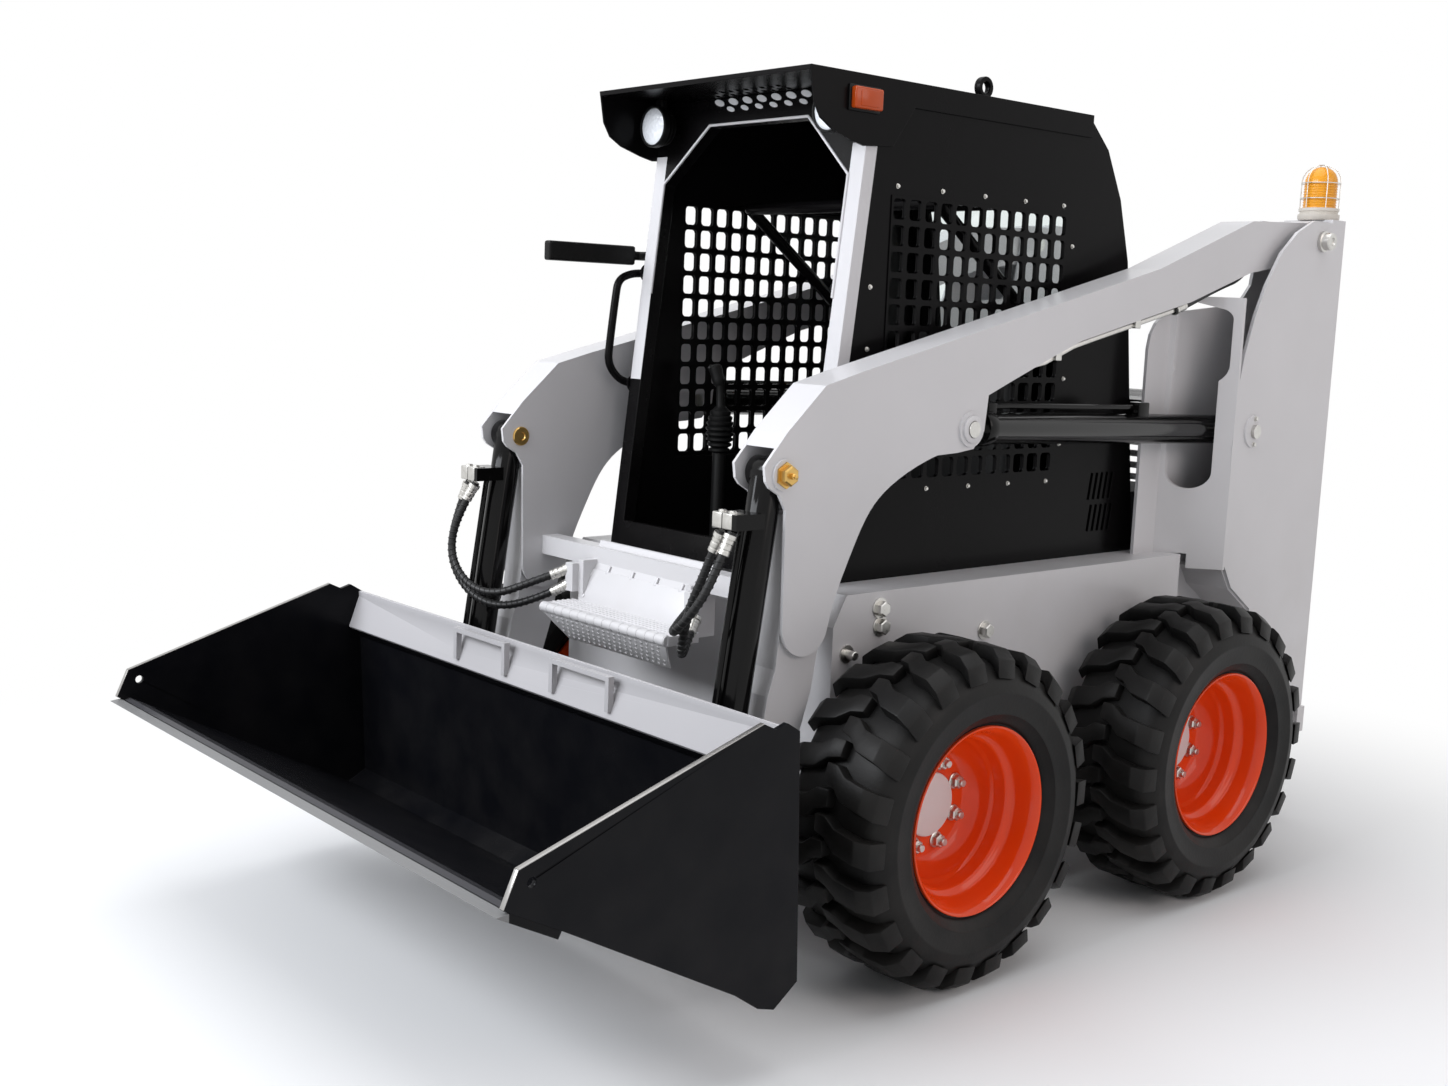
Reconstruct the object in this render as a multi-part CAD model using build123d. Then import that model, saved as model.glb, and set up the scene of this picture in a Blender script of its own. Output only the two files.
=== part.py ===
"""Skid steer loader as separate welded, bolted and hinged pieces.

Millimetres. +X is the machine's left, +Y its rear, +Z up. Every outline is measured
back from the front axle and up from the ground. On export the whole machine is moved
along Y, so that the origin lies under the middle of its overall box.
"""
import math
import os

from build123d import *

# Wheels
WHEELBASE = 1020.0
TYRE_R = 410.0
TYRE_WIDTH = 304.0
TYRE_INNER_X = 572.0
LUGS = 18
LUG_DEEP = 24.0
LUG_BACK = 52.0
LUG_REACH = 46.0
RIM_SEAT_R = 209.0
RIM_FLANGE_R = 226.5
RIM_DISC_X = 683.0
HUB_CAP_R = 76.5
AXLE_TUBE_R = 62.0
AXLE_SHAFT_R = 36.0
FIT = 0.3

# Chassis
CASE_OUTER_X = 530.0
CASE_INNER_X = 360.0
CASE_TOP_Z = 905.0
BELLY_Z = 200.0
CASE_FRONT_Y = -190.0
CASE_REAR_Y = 1240.0
UPRIGHT_INNER_X = 448.0
UPRIGHT_OUTER_X = 600.0
UPRIGHT_TOP_Z = 1895.0
UPRIGHT_REAR_Y = 1872.0
UPRIGHT_PLATE = 10.0
BUMPER_REAR_Y = UPRIGHT_REAR_Y + 41.0

# Cab
CAB_X = 400.0
CAB_SHEET = 18.0
SCREEN_SHEET = 6.0
CAB_FRONT_Y = -150.0
CAB_RAKE = 6.62
CAB_FRAME_DEEP = 40.0
ROOF_TOP_Z = 2125.0
ROOF_SHEET = 12.0
ROOF_FRONT_Y = -224.0
ROOF_REAR_Y = 847.0
CHEEK_SHEET = 6.0
SEAT_Z = 917.0

# Loader arms
ARM_X = 520.0
ARM_HALF = 54.0
ARM_PLATE = 8.0
LEG_HALF = 40.0
PIVOT = (1743.0, 1836.0)
LIFT_BASE = (1442.0, 1268.0)
LIFT_ROD_EYE = (209.0, 1295.0)
TILT_BASE = (-412.0, 1205.0)
TILT_ROD_EYE = (-528.0, 428.0)
TOOL_HINGE = (-460.0, 240.0)
PIN_R = 20.0
PIVOT_PIN_R = 25.0

# Cylinders
LIFT_BARREL_R = 42.0
LIFT_ROD_R = 25.0
LIFT_GLAND = 1146.0
LIFT_ROD_TAIL = 360.0
TILT_BARREL_R = 38.0
TILT_ROD_R = 20.0
TILT_GLAND = 690.0

# Bucket
BUCKET_HALF = 908.0
BUCKET_SIDE_T = 12.0
BUCKET_SHEET = 10.0
BUCKET_CURL = 27.6
EDGE_TIP = (-1363.0, 506.0)
EDGE_LONG = 150.0
EDGE_T = 16.0
EAR_HALF = 46.0
EAR_T = 12.0

FRONT_AXLE_Y = -(EDGE_TIP[0] + BUMPER_REAR_Y) / 2
AXLE_Z = TYRE_R


# Shared shapes


def slab(x0, x1, y0, y1, z0, z1):
    """Box between two corners."""
    return Pos((x0 + x1) / 2, (y0 + y1) / 2, (z0 + z1) / 2) * Box(x1 - x0, y1 - y0, z1 - z0)


def side_plate(points, x0, x1):
    """Plate across X whose side view is a closed line through (y, z) points."""
    face = make_face(Polyline(*points, close=True))
    return extrude(Plane.YZ.offset(x0) * face, amount=x1 - x0)


def cross_pin(x0, x1, centre, radius):
    """Round bar along X about a (y, z) centre."""
    middle = Pos((x0 + x1) / 2, centre[0], centre[1])
    return middle * Rot(0, 90, 0) * Cylinder(radius, x1 - x0)


def along(start, end, distance):
    """Point a distance from start towards end, in side view."""
    length = math.hypot(end[0] - start[0], end[1] - start[1])
    share = distance / length
    return (start[0] + (end[0] - start[0]) * share, start[1] + (end[1] - start[1]) * share)


def rod(x, start, end, radius):
    """Round bar at one X between two (y, z) points."""
    run = (end[0] - start[0], end[1] - start[1])
    axis = Plane(origin=(x, start[0], start[1]), x_dir=(1, 0, 0), z_dir=(0, run[0], run[1]))
    low = (Align.CENTER, Align.CENTER, Align.MIN)
    return axis * Cylinder(radius, math.hypot(*run), align=low)


def tube_run(points, radius):
    """Round bar through straight legs, with a ball at each bend."""
    shape = None
    for start, end in zip(points, points[1:]):
        run = Vector(*end) - Vector(*start)
        low = (Align.CENTER, Align.CENTER, Align.MIN)
        leg = Plane(origin=start, z_dir=run) * Cylinder(radius, run.length, align=low)
        shape = leg if shape is None else shape + leg
    for bend in points[1:-1]:
        shape = shape + Pos(*bend) * Sphere(radius)
    return shape


def turned(points, axle_y):
    """Ring or disc turned about an axle from (x, radius) points."""
    face = make_face(Polyline(*points, close=True))
    ring = revolve(Plane.XZ * face, axis=Axis.X)
    return Pos(0, axle_y, AXLE_Z) * ring


def right_of(part):
    """The same piece on the machine's right."""
    return mirror(part, about=Plane.YZ)


def both(part):
    """A piece on the left with its twin on the right."""
    return part + right_of(part)


# Wheels


def tread_lug():
    """One slanted bar of the tread, at the top of the wheel, on the side that faces out."""
    half = TYRE_WIDTH / 2
    top = math.sqrt(TYRE_R ** 2 - LUG_REACH ** 2)
    foot = TYRE_R - 70
    plan = make_face(Polyline((half - 6, -LUG_BACK), (half - 6, 8), (-14, LUG_REACH), (-14, 4), close=True))
    bar = extrude(Plane.XY.offset(foot) * plan, amount=top - foot)
    side = make_face(Polyline((-20, foot - 1), (-20, top + 1), (half - 40, top + 1), (half - 14, top - 36),
                              (half - 6, foot - 1), close=True))
    return bar & extrude(Plane.XZ.offset(-100) * side, amount=200)


def tyre(axle_y):
    x0 = TYRE_INNER_X
    x1 = x0 + TYRE_WIDTH
    bead = RIM_SEAT_R + FIT
    seat0 = x0 + 33 + FIT
    seat1 = x1 - 33 - FIT
    crown = TYRE_R - LUG_DEEP
    carcass = turned([
        (seat0, bead), (seat0, RIM_FLANGE_R + 4), (x0 + 8, RIM_FLANGE_R + 35), (x0, crown - 76),
        (x0 + 8, crown - 44), (x0 + 26, crown - 14), (x0 + 60, crown), (x1 - 60, crown),
        (x1 - 26, crown - 14), (x1 - 8, crown - 44), (x1, crown - 76), (x1 - 8, RIM_FLANGE_R + 35),
        (seat1, RIM_FLANGE_R + 4), (seat1, bead)], axle_y)
    lug = right_lug = tread_lug()
    middle = x0 + TYRE_WIDTH / 2
    pitch = 360 / LUGS
    down = 180 + math.degrees(math.asin(LUG_REACH / TYRE_R))
    for count in range(LUGS):
        for row, block in enumerate((lug, right_of(right_lug))):
            turn = down + pitch * (count + row / 2)
            carcass += Pos(middle, axle_y, AXLE_Z) * Rot(turn, 0, 0) * block
    return carcass


def rim(axle_y):
    x0 = TYRE_INNER_X + 33
    x1 = TYRE_INNER_X + TYRE_WIDTH - 33
    inner = RIM_SEAT_R - 8
    shaft_end = CASE_OUTER_X + 10
    return turned([
        (shaft_end, 0), (shaft_end, AXLE_SHAFT_R), (RIM_DISC_X - 35, AXLE_SHAFT_R),
        (RIM_DISC_X - 35, 70), (RIM_DISC_X - 12, 125), (RIM_DISC_X - 12, inner), (x0 - 9, inner),
        (x0 - 9, RIM_FLANGE_R), (x0, RIM_FLANGE_R), (x0, RIM_SEAT_R), (x1, RIM_SEAT_R),
        (x1, RIM_FLANGE_R), (x1 + 9, RIM_FLANGE_R), (x1 + 9, inner), (x1 - 45, inner),
        (x1 - 60, inner - 22), (RIM_DISC_X + 40, inner - 22), (RIM_DISC_X + 8, inner - 50),
        (RIM_DISC_X, 135), (RIM_DISC_X, HUB_CAP_R), (RIM_DISC_X + 12, HUB_CAP_R - 4),
        (RIM_DISC_X + 12, 0)], axle_y)


def axle_tube(axle_y):
    end = RIM_DISC_X - 45
    tube = turned([
        (CASE_OUTER_X, AXLE_SHAFT_R + FIT), (CASE_OUTER_X, AXLE_TUBE_R + 30),
        (CASE_OUTER_X + 14, AXLE_TUBE_R + 30), (CASE_OUTER_X + 14, AXLE_TUBE_R),
        (end, AXLE_TUBE_R), (end, AXLE_SHAFT_R + FIT)], axle_y)
    return tube


# Chassis


def main_frame():
    case = side_plate([
        (CASE_FRONT_Y, 320), (CASE_FRONT_Y, CASE_TOP_Z - 75), (CASE_FRONT_Y + 40, CASE_TOP_Z),
        (CASE_REAR_Y, CASE_TOP_Z), (CASE_REAR_Y, BELLY_Z), (CASE_FRONT_Y + 90, BELLY_Z)],
        CASE_INNER_X, CASE_OUTER_X)
    for axle_y in (0, WHEELBASE):
        well = (axle_y, AXLE_Z)
        case = case - cross_pin(CASE_OUTER_X - 25, CASE_OUTER_X + 1, well, AXLE_SHAFT_R + 2)
    frame = both(case)
    frame += slab(-UPRIGHT_INNER_X, UPRIGHT_INNER_X, CASE_FRONT_Y + 90, UPRIGHT_REAR_Y,
                  BELLY_Z, BELLY_Z + 12)
    frame += slab(-CASE_INNER_X, CASE_INNER_X, CASE_FRONT_Y, CASE_FRONT_Y + 12, 320, CASE_TOP_Z)
    frame += side_plate([(CASE_FRONT_Y, 320), (CASE_FRONT_Y + 12, 332),
                         (CASE_FRONT_Y + 96, BELLY_Z + 12), (CASE_FRONT_Y + 90, BELLY_Z)],
                        -CASE_INNER_X, CASE_INNER_X)
    frame += slab(-CASE_INNER_X, CASE_INNER_X, 1090, 1102, BELLY_Z, CASE_TOP_Z)
    frame += slab(-UPRIGHT_OUTER_X, UPRIGHT_OUTER_X, UPRIGHT_REAR_Y, BUMPER_REAR_Y, 290, 372)
    frame += slab(-UPRIGHT_INNER_X, UPRIGHT_INNER_X, UPRIGHT_REAR_Y - 12, UPRIGHT_REAR_Y,
                  BELLY_Z, 372)
    return frame


WEB_LOW_Z = 862.0
WEB_TOP_Z = 1654.0
SLOT_LOW = ((519, 1148, 50), (519, 1420, 50))
SLOT_TOP = ((530, 1460, 60), (558, 1590, 32), (496, 1616, 24))
ARCH = [(1352, 858), (1395, 798), (1507, 724), (1556, 556), (1575, 372)]


def round_hole(rounds):
    """Outline drawn tight round several (x, z, radius) circles."""
    edges = ShapeList()
    for x, z, radius in rounds:
        edges = edges + (Pos(x, z) * Circle(radius)).edges()
    return make_hull(edges)


def upright():
    inner_x = UPRIGHT_INNER_X
    outer_x = UPRIGHT_OUTER_X
    thick = UPRIGHT_PLATE
    top = UPRIGHT_TOP_Z
    rear = UPRIGHT_REAR_Y
    outer = side_plate([
        (rear, 372), (rear, top), (1690, top), (1600, 1855), (1519, 1791), (1450, 1695),
        (1404, 1604), (1365, 1490), (1347, 1402), (1338, 1219), (1342, 975), (1348, 875),
        (1395, 805), (1507, 731), (1556, 560), (1575, 372)], outer_x, outer_x + thick)
    inner = side_plate([
        (1105, CASE_TOP_Z), (1105, 1500), (1114, 1540), (1136, 1573), (1166, 1594), (1215, 1606),
        (1560, 1640), (1620, 1700), (1655, top), (rear, top), (rear, BELLY_Z + 12),
        (CASE_REAR_Y, BELLY_Z + 12), (CASE_REAR_Y, CASE_TOP_Z)], inner_x, inner_x + thick)
    back = slab(inner_x, outer_x + thick, rear - 12, rear, 372, top)
    web_face = make_face(Polyline((inner_x, 1197), (outer_x + thick, 1340), (outer_x + thick, 1350),
                                  (inner_x, 1211), close=True))
    web = extrude(Plane.XY.offset(WEB_LOW_Z) * web_face, amount=WEB_TOP_Z - WEB_LOW_Z)
    web = web - slab(0, CASE_OUTER_X, 1000, CASE_REAR_Y + 120, 0, CASE_TOP_Z)
    slot_face = round_hole(SLOT_LOW) + round_hole(SLOT_TOP)
    web = web - extrude(Plane.XZ.offset(-1500) * slot_face, amount=400)
    lining = side_plate(ARCH + [(y + 7, z + 8) for y, z in reversed(ARCH)], inner_x + thick, outer_x)
    cap = slab(inner_x, outer_x + thick, rear - 77, rear, top, top + 10)
    post = outer + inner + back + web + lining + cap
    ring0 = cross_pin(outer_x + thick, outer_x + thick + 6, LIFT_BASE, 48)
    post = post + ring0
    post = post - cross_pin(inner_x - 1, outer_x + 40, PIVOT, PIVOT_PIN_R + 0.1)
    post = post - cross_pin(inner_x - 1, outer_x + 40, LIFT_BASE, PIN_R + 0.1)
    return post


def frame_pins():
    left = cross_pin(UPRIGHT_INNER_X, UPRIGHT_OUTER_X + 28, PIVOT, PIVOT_PIN_R)
    left += cross_pin(UPRIGHT_INNER_X, UPRIGHT_OUTER_X + 26, LIFT_BASE, PIN_R)
    return both(left)


def engine():
    return slab(-230, 230, 1215, 1700, BELLY_Z + 12, 1050)


def rear_line(z):
    """Y of the cab's rear wall, on its straight lower part."""
    return 1181 - 0.14576 * (z - CASE_TOP_Z)


def engine_cover():
    top = 1352
    cover = side_plate([
        (rear_line(top - 12), top - 12), (rear_line(top), top), (1830, top), (1830, top - 12)],
        -UPRIGHT_INNER_X, UPRIGHT_INNER_X)
    for step in range(7):
        y = 1330 + step * 60
        cover = cover - slab(-300, 300, y, y + 24, top - 20, top + 5)
    return cover


def tail_lamps():
    return both(slab(495, 565, UPRIGHT_REAR_Y, UPRIGHT_REAR_Y + 22, 1180, 1300))


def beacon_base():
    low = (Align.CENTER, Align.CENTER, Align.MIN)
    return Pos(540, 1832, UPRIGHT_TOP_Z + 10) * Cylinder(62, 36, align=low)


def beacon_lens():
    low = (Align.CENTER, Align.CENTER, Align.MIN)
    lens = Cylinder(50, 80, align=low) + Pos(0, 0, 80) * Sphere(50)
    return Pos(540, 1832, UPRIGHT_TOP_Z + 46) * lens


# Cab


def raked(z):
    """Y of the cab's front face at a height."""
    return CAB_FRONT_Y + (z - CASE_TOP_Z) * math.tan(math.radians(CAB_RAKE))


def cab_front():
    rake = math.radians(CAB_RAKE)
    plane = Plane(origin=(0, CAB_FRONT_Y, CASE_TOP_Z), x_dir=(1, 0, 0),
                  z_dir=(0, -math.cos(rake), math.sin(rake)))

    def up(z):
        return (z - CASE_TOP_Z) / math.cos(rake)

    head = up(ROOF_TOP_Z + 30)
    sill = up(CASE_TOP_Z + 70)
    shoulder = up(ROOF_TOP_Z - 229)
    crown = up(ROOF_TOP_Z - 81)
    pillar = CAB_X - 47
    outer = [(-CAB_X, -20), (CAB_X, -20), (CAB_X, head), (-CAB_X, head)]
    gap = [(-pillar, sill), (pillar, sill), (pillar, shoulder), (pillar - 165, crown),
           (165 - pillar, crown), (-pillar, shoulder)]
    face = make_face(Polyline(*outer, close=True)) - make_face(Polyline(*gap, close=True))
    frame = extrude(plane * face, amount=-CAB_FRAME_DEEP)
    return frame & slab(-CAB_X, CAB_X, -400, 400, CASE_TOP_Z, ROOF_TOP_Z - ROOF_SHEET)


def cab_rear_points():
    top = ROOF_TOP_Z - ROOF_SHEET
    knee = ROOF_TOP_Z - 383
    return [(rear_line(CASE_TOP_Z), CASE_TOP_Z), (rear_line(knee), knee),
            (ROOF_REAR_Y + 157, ROOF_TOP_Z - 215), (ROOF_REAR_Y + 84, ROOF_TOP_Z - 85), (ROOF_REAR_Y, top)]


def screen_rows():
    return round((ROOF_TOP_Z - 1421) / SCREEN_PITCH[1])


SCREEN_PITCH = (58.0, 64.0)
SCREEN_COLUMNS = 12
SCREEN_REAR_Y = 736.0
SCREEN_LOW_Z = 1182.0


def cab_side():
    """Side wall, thinned from inside to one sheet around its punched window screen."""
    top = ROOF_TOP_Z - ROOF_SHEET
    back = CAB_FRAME_DEEP / math.cos(math.radians(CAB_RAKE))
    points = [(raked(top) + back, top), (raked(CASE_TOP_Z) + back, CASE_TOP_Z)] + cab_rear_points()
    face = make_face(Polyline(*points, close=True))
    holes = []
    across, up = SCREEN_PITCH
    for row in range(screen_rows()):
        for column in range(SCREEN_COLUMNS):
            place = Pos(SCREEN_REAR_Y - column * across, SCREEN_LOW_Z + row * up)
            holes.append(place * Rectangle(across - 12, up - 14))
    for row in range(2):
        for column in range(5):
            place = Pos(960 + column * 24 - row * 5, 1012 + row * 92)
            holes.append(place * Rot(0, 0, -9) * Rectangle(11, 76))
    face = face - holes
    wall = extrude(Plane.YZ.offset(CAB_X - CAB_SHEET) * face, amount=CAB_SHEET)
    pocket = slab(CAB_X - CAB_SHEET - 1, CAB_X - SCREEN_SHEET,
                  SCREEN_REAR_Y - (SCREEN_COLUMNS - 0.4) * across, SCREEN_REAR_Y + 0.6 * across,
                  SCREEN_LOW_Z - 0.6 * up, SCREEN_LOW_Z + (screen_rows() - 0.4) * up)
    return wall - pocket


def cab_rear():
    outside = cab_rear_points()
    inside = [(y - CAB_SHEET, z) for y, z in reversed(outside)]
    wall = side_plate(outside + inside, -(CAB_X - CAB_SHEET), CAB_X - CAB_SHEET)
    return wall - slab(-310, 310, 900, 1300, ROOF_TOP_Z - 625, ROOF_TOP_Z - 232)


def rear_window():
    """Bent pane that follows the rear wall over its knee."""
    wall = cab_rear_points()
    knee = wall[1]
    low = (rear_line(ROOF_TOP_Z - 625), ROOF_TOP_Z - 625)
    share = (ROOF_TOP_Z - 232 - knee[1]) / (wall[2][1] - knee[1])
    high = (knee[0] + (wall[2][0] - knee[0]) * share, ROOF_TOP_Z - 232)
    outside = [(y - 6, z) for y, z in (low, knee, high)]
    inside = [(y - 12, z) for y, z in (high, knee, low)]
    return side_plate(outside + inside, -310, 310)


def cab_roof():
    under = ROOF_TOP_Z - ROOF_SHEET
    roof = slab(-CAB_X, CAB_X, ROOF_FRONT_Y, ROOF_REAR_Y, under, ROOF_TOP_Z)
    cheek = side_plate([
        (ROOF_FRONT_Y, ROOF_TOP_Z), (ROOF_FRONT_Y + 14, ROOF_TOP_Z - 79), (-188, ROOF_TOP_Z - 115),
        (-150, ROOF_TOP_Z - 137), (-83, ROOF_TOP_Z - 157), (-41, ROOF_TOP_Z - 166), (61, ROOF_TOP_Z - 158),
        (132, ROOF_TOP_Z - 60), (ROOF_REAR_Y, ROOF_TOP_Z - 60), (ROOF_REAR_Y, ROOF_TOP_Z)],
        CAB_X, CAB_X + CHEEK_SHEET)
    roof = roof + both(cheek)
    slots = []
    for row in range(2):
        for column in range(10):
            x = -125 + column * 30 - row * 12
            slots.append(Pos(x, -84 + row * 46, under) * Rot(0, 0, 30) * Box(13, 34, 40))
    return roof - slots


def cab_floor():
    sheet = 12.0
    riser = 330.0
    low = 600.0
    front = CASE_FRONT_Y + 12
    floor = slab(-CASE_INNER_X, CASE_INNER_X, front, riser, low, low + sheet)
    floor += slab(-CASE_INNER_X, CASE_INNER_X, riser - sheet, riser, low, SEAT_Z)
    inner = CAB_X - CAB_SHEET
    rear = rear_line(SEAT_Z) - CAB_SHEET - 3
    floor += slab(-inner, inner, riser - sheet, rear, CASE_TOP_Z, SEAT_Z)
    return floor


def seat():
    cushion = slab(-230, 230, 345, 800, SEAT_Z, SEAT_Z + 120)
    back = slab(-220, 220, 806, 900, SEAT_Z, SEAT_Z + 620)
    return cushion + back


def control_levers():
    lever = slab(225, 275, 85, 135, 612, 1180)
    lever += Pos(250, 110, 1230) * Cone(45, 22, 100)
    lever += Pos(250, 110, 1330) * Cylinder(20, 110)
    lever += Pos(250, 110, 1395) * Cylinder(26, 60)
    return both(lever)


def work_lamps():
    x = CAB_X - 65
    z = ROOF_TOP_Z - 82
    lamp = Pos(x, -68, z) * Rot(90, 0, 0) * Cylinder(55, 60)
    lamp += slab(x - 15, x + 15, -78, -58, z + 43, ROOF_TOP_Z - ROOF_SHEET)
    return both(lamp)


def marker_lamps():
    x0 = CAB_X + CHEEK_SHEET
    return both(slab(x0, x0 + 25, -99, 1, ROOF_TOP_Z - 87, ROOF_TOP_Z - 31))


def lifting_eyes():
    hole = (470, ROOF_TOP_Z + 34)
    eye = slab(320, 340, 440, 500, ROOF_TOP_Z, ROOF_TOP_Z + 12) + cross_pin(320, 340, hole, 28)
    eye = eye - cross_pin(310, 350, hole, 15)
    return both(eye)


def grab_handle():
    x = -(CAB_X + 32)
    wall = -CAB_X
    low_y = raked(1350) + 20
    top_y = raked(1655) + 20
    return tube_run([(wall, top_y, 1655), (x, top_y, 1655), (x, -126, 1628), (x, -153, 1413),
                     (x, low_y, 1350), (wall, low_y, 1350)], 11)


def mirror_housing():
    body = slab(-(CAB_X + 52), -(CAB_X + 26), -360, -70, 1676, 1728)
    arm_y = raked(1700)
    return body + slab(-(CAB_X + 40), -CAB_X, arm_y + 5, arm_y + 30, 1690, 1714) + \
        slab(-(CAB_X + 40), -(CAB_X + 26), -75, arm_y + 30, 1690, 1714)


# Doors and bars that move


DOOR_HINGE_Y = UPRIGHT_REAR_Y + 12
DOOR_HINGE_X = -(UPRIGHT_INNER_X - 8)
DOOR_HINGE_Z = (530.0, 1180.0)


def door_hinge_pins():
    """Pins and ears on the right upright."""
    y = DOOR_HINGE_Y
    x = DOOR_HINGE_X
    pins = None
    for z in DOOR_HINGE_Z:
        pin = Pos(x, y, z) * Cylinder(6, 80)
        pin += slab(x - 35, x - 13, y - 18, y + 7, z - 46, z + 46)
        for ear_z in (z - 46, z + 30):
            pin += slab(x - 35, x + 6, y - 7, y + 7, ear_z, ear_z + 16)
        pins = pin if pins is None else pins + pin
    return pins


def door_knuckles():
    y = DOOR_HINGE_Y
    x = DOOR_HINGE_X
    knuckles = None
    for z in DOOR_HINGE_Z:
        knuckle = Pos(x, y, z) * Cylinder(10, 50)
        knuckle += slab(x, x + 45, y - 14, y - 2, z - 25, z + 25)
        knuckle -= Pos(x, y, z) * Cylinder(6.06, 60)
        knuckles = knuckle if knuckles is None else knuckles + knuckle
    return knuckles


def rear_door():
    half = UPRIGHT_INNER_X - 8
    door = slab(-half, half, UPRIGHT_REAR_Y - 36, UPRIGHT_REAR_Y, 385, 1330)
    door = door - slab(-half + 16, half - 16, UPRIGHT_REAR_Y - 40, UPRIGHT_REAR_Y - 8, 401, 1314)
    for row in range(9):
        z = 900 + row * 40
        door = door - slab(-300, 300, UPRIGHT_REAR_Y - 20, UPRIGHT_REAR_Y + 5, z, z + 18)
    return door + door_knuckles()


SEAT_BAR_PIVOT = (850.0, 1450.0)


def seat_bar():
    x = 358.0
    y0, z0 = SEAT_BAR_PIVOT
    y1, z1 = 289.0, ROOF_TOP_Z - 273
    bar = tube_run([(x, y0, z0), (x, y1, z1), (-x, y1, z1), (-x, y0, z0)], 17)
    hub = cross_pin(x - 14, CAB_X - CAB_SHEET, SEAT_BAR_PIVOT, 20)
    return bar + both(hub)


# Loader arms


ARM_TOP = [(1745, 1892), (1413, 1876), (966, 1719), (-185, 1432), (-294, 1402), (-407, 1299)]
ARM_NOSE = [(-471, 1226), (-466, 1192), (-454, 1177), (-424, 1160), (-403, 1126), (-397, 862)]
ARM_TONGUE = (-330, 786)
ARM_SWEEP = [(-256, 840), (-230, 925), (-189, 1013), (-120, 1124), (-37, 1183), (93, 1234)]
ARM_UNDER = [(165, 1238), (225, 1246), (262, 1290), (271, 1378), (356, 1412), (515, 1474),
             (631, 1517), (1127, 1635), (1419, 1728), (1745, 1780)]


def arm_cheek(x0, x1):
    """Side plate of the arm, with a round tongue at its foot and a swept underside."""
    front = Polyline(*ARM_TOP, *ARM_NOSE)
    tongue = ThreePointArc(ARM_NOSE[-1], ARM_TONGUE, ARM_SWEEP[0])
    sweep_line = Spline(*ARM_SWEEP)
    under = Polyline(ARM_SWEEP[-1], *ARM_UNDER, ARM_TOP[0])
    face = make_face(front.edges() + tongue.edges() + sweep_line.edges() + under.edges())
    return extrude(Plane.YZ.offset(x0) * face, amount=x1 - x0)


def arm_left():
    x0 = ARM_X - ARM_HALF
    x1 = ARM_X + ARM_HALF
    arm = arm_cheek(x1 - ARM_PLATE, x1)
    arm += arm_cheek(x0, x0 + ARM_PLATE)
    beam = ARM_TOP + [(-437, 1264), (-330, 1262), (-200, 1290), (93, 1352), (271, 1390), (356, 1414),
                      (515, 1476), (631, 1519), (1127, 1637), (1419, 1730), (1745, 1782)]
    arm += side_plate(beam, x0 + ARM_PLATE, x1 - ARM_PLATE)
    leg = [(-372, 1110), (-388, 870), (-400, 760), (-420, 700), (-445, 550),
           (TOOL_HINGE[0] - 46, TOOL_HINGE[1] + 10), (TOOL_HINGE[0] + 46, TOOL_HINGE[1] - 10),
           (-330, 560), (-285, 700), (-262, 840), (-262, 930), (-300, 1110)]
    arm += side_plate(leg, ARM_X - LEG_HALF, ARM_X + LEG_HALF)
    web = [(-300, 1110), (-262, 930), (-262, 850), (-388, 870), (-372, 1110)]
    arm += side_plate(web, x0 + ARM_PLATE, x1 - ARM_PLATE)
    arm += cross_pin(ARM_X - LEG_HALF, ARM_X + LEG_HALF, TOOL_HINGE, 46)
    arm += cross_pin(x0, x1, PIVOT, 62)
    arm += cross_pin(x1, x1 + 6, LIFT_ROD_EYE, 44)
    arm += cross_pin(x1, x1 + 6, TILT_BASE, 36)
    arm -= cross_pin(x0 - 1, x1 + 1, PIVOT, PIVOT_PIN_R + 0.06)
    arm -= cross_pin(x0 - 1, x1 + 10, LIFT_ROD_EYE, PIN_R + 0.1)
    arm -= cross_pin(x0 - 1, x1 + 10, TILT_BASE, PIN_R + 0.1)
    arm -= cross_pin(x0 - 1, x1 + 10, TOOL_HINGE, PIN_R + 0.1)
    return arm


def arm_pins():
    x0 = ARM_X - ARM_HALF
    x1 = ARM_X + ARM_HALF
    left = cross_pin(x0, x1 + 16, TILT_BASE, PIN_R)
    left += cross_pin(x0, x0 + 10, LIFT_ROD_EYE, PIN_R)
    left += cross_pin(x1 - 10, x1 + 16, LIFT_ROD_EYE, PIN_R)
    reach = EAR_HALF + EAR_T + 8
    left += cross_pin(ARM_X - reach, ARM_X + reach, TOOL_HINGE, PIN_R)
    return both(left)


def arm_crossmember():
    reach = ARM_X - ARM_HALF
    bar = slab(-reach, reach, -335, -285, 880, 932)
    panel = side_plate([(-311, 947), (-382, 782), (-374, 778), (-303, 947)], -230, 230)
    step = slab(-260, 260, -470, -374, 766, 790)
    stay = slab(210, 230, -380, -300, 770, 900) + slab(230, 262, -400, -370, 815, 890)
    return bar + panel + step + both(stay)


# Cylinders


def cylinder_barrel(base, eye, gland, radius, bore, eye_half):
    start = along(base, eye, radius + 4)
    end = along(base, eye, gland)
    barrel = rod(ARM_X, along(base, eye, 10), end, radius)
    barrel += rod(ARM_X, along(base, eye, gland - 36), end, radius + 5)
    barrel += cross_pin(ARM_X - eye_half, ARM_X + eye_half, base, radius)
    barrel -= rod(ARM_X, along(base, eye, radius + 40), along(base, eye, gland + 1), bore + FIT)
    barrel -= cross_pin(ARM_X - 100, ARM_X + 100, base, PIN_R + 0.06)
    return both(barrel)


def tilt_barrels():
    pair = cylinder_barrel(TILT_BASE, TILT_ROD_EYE, TILT_GLAND, TILT_BARREL_R, TILT_ROD_R, 34)
    return pair + both(slab(485, 562, -536, -452, 1085, 1120))


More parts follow.
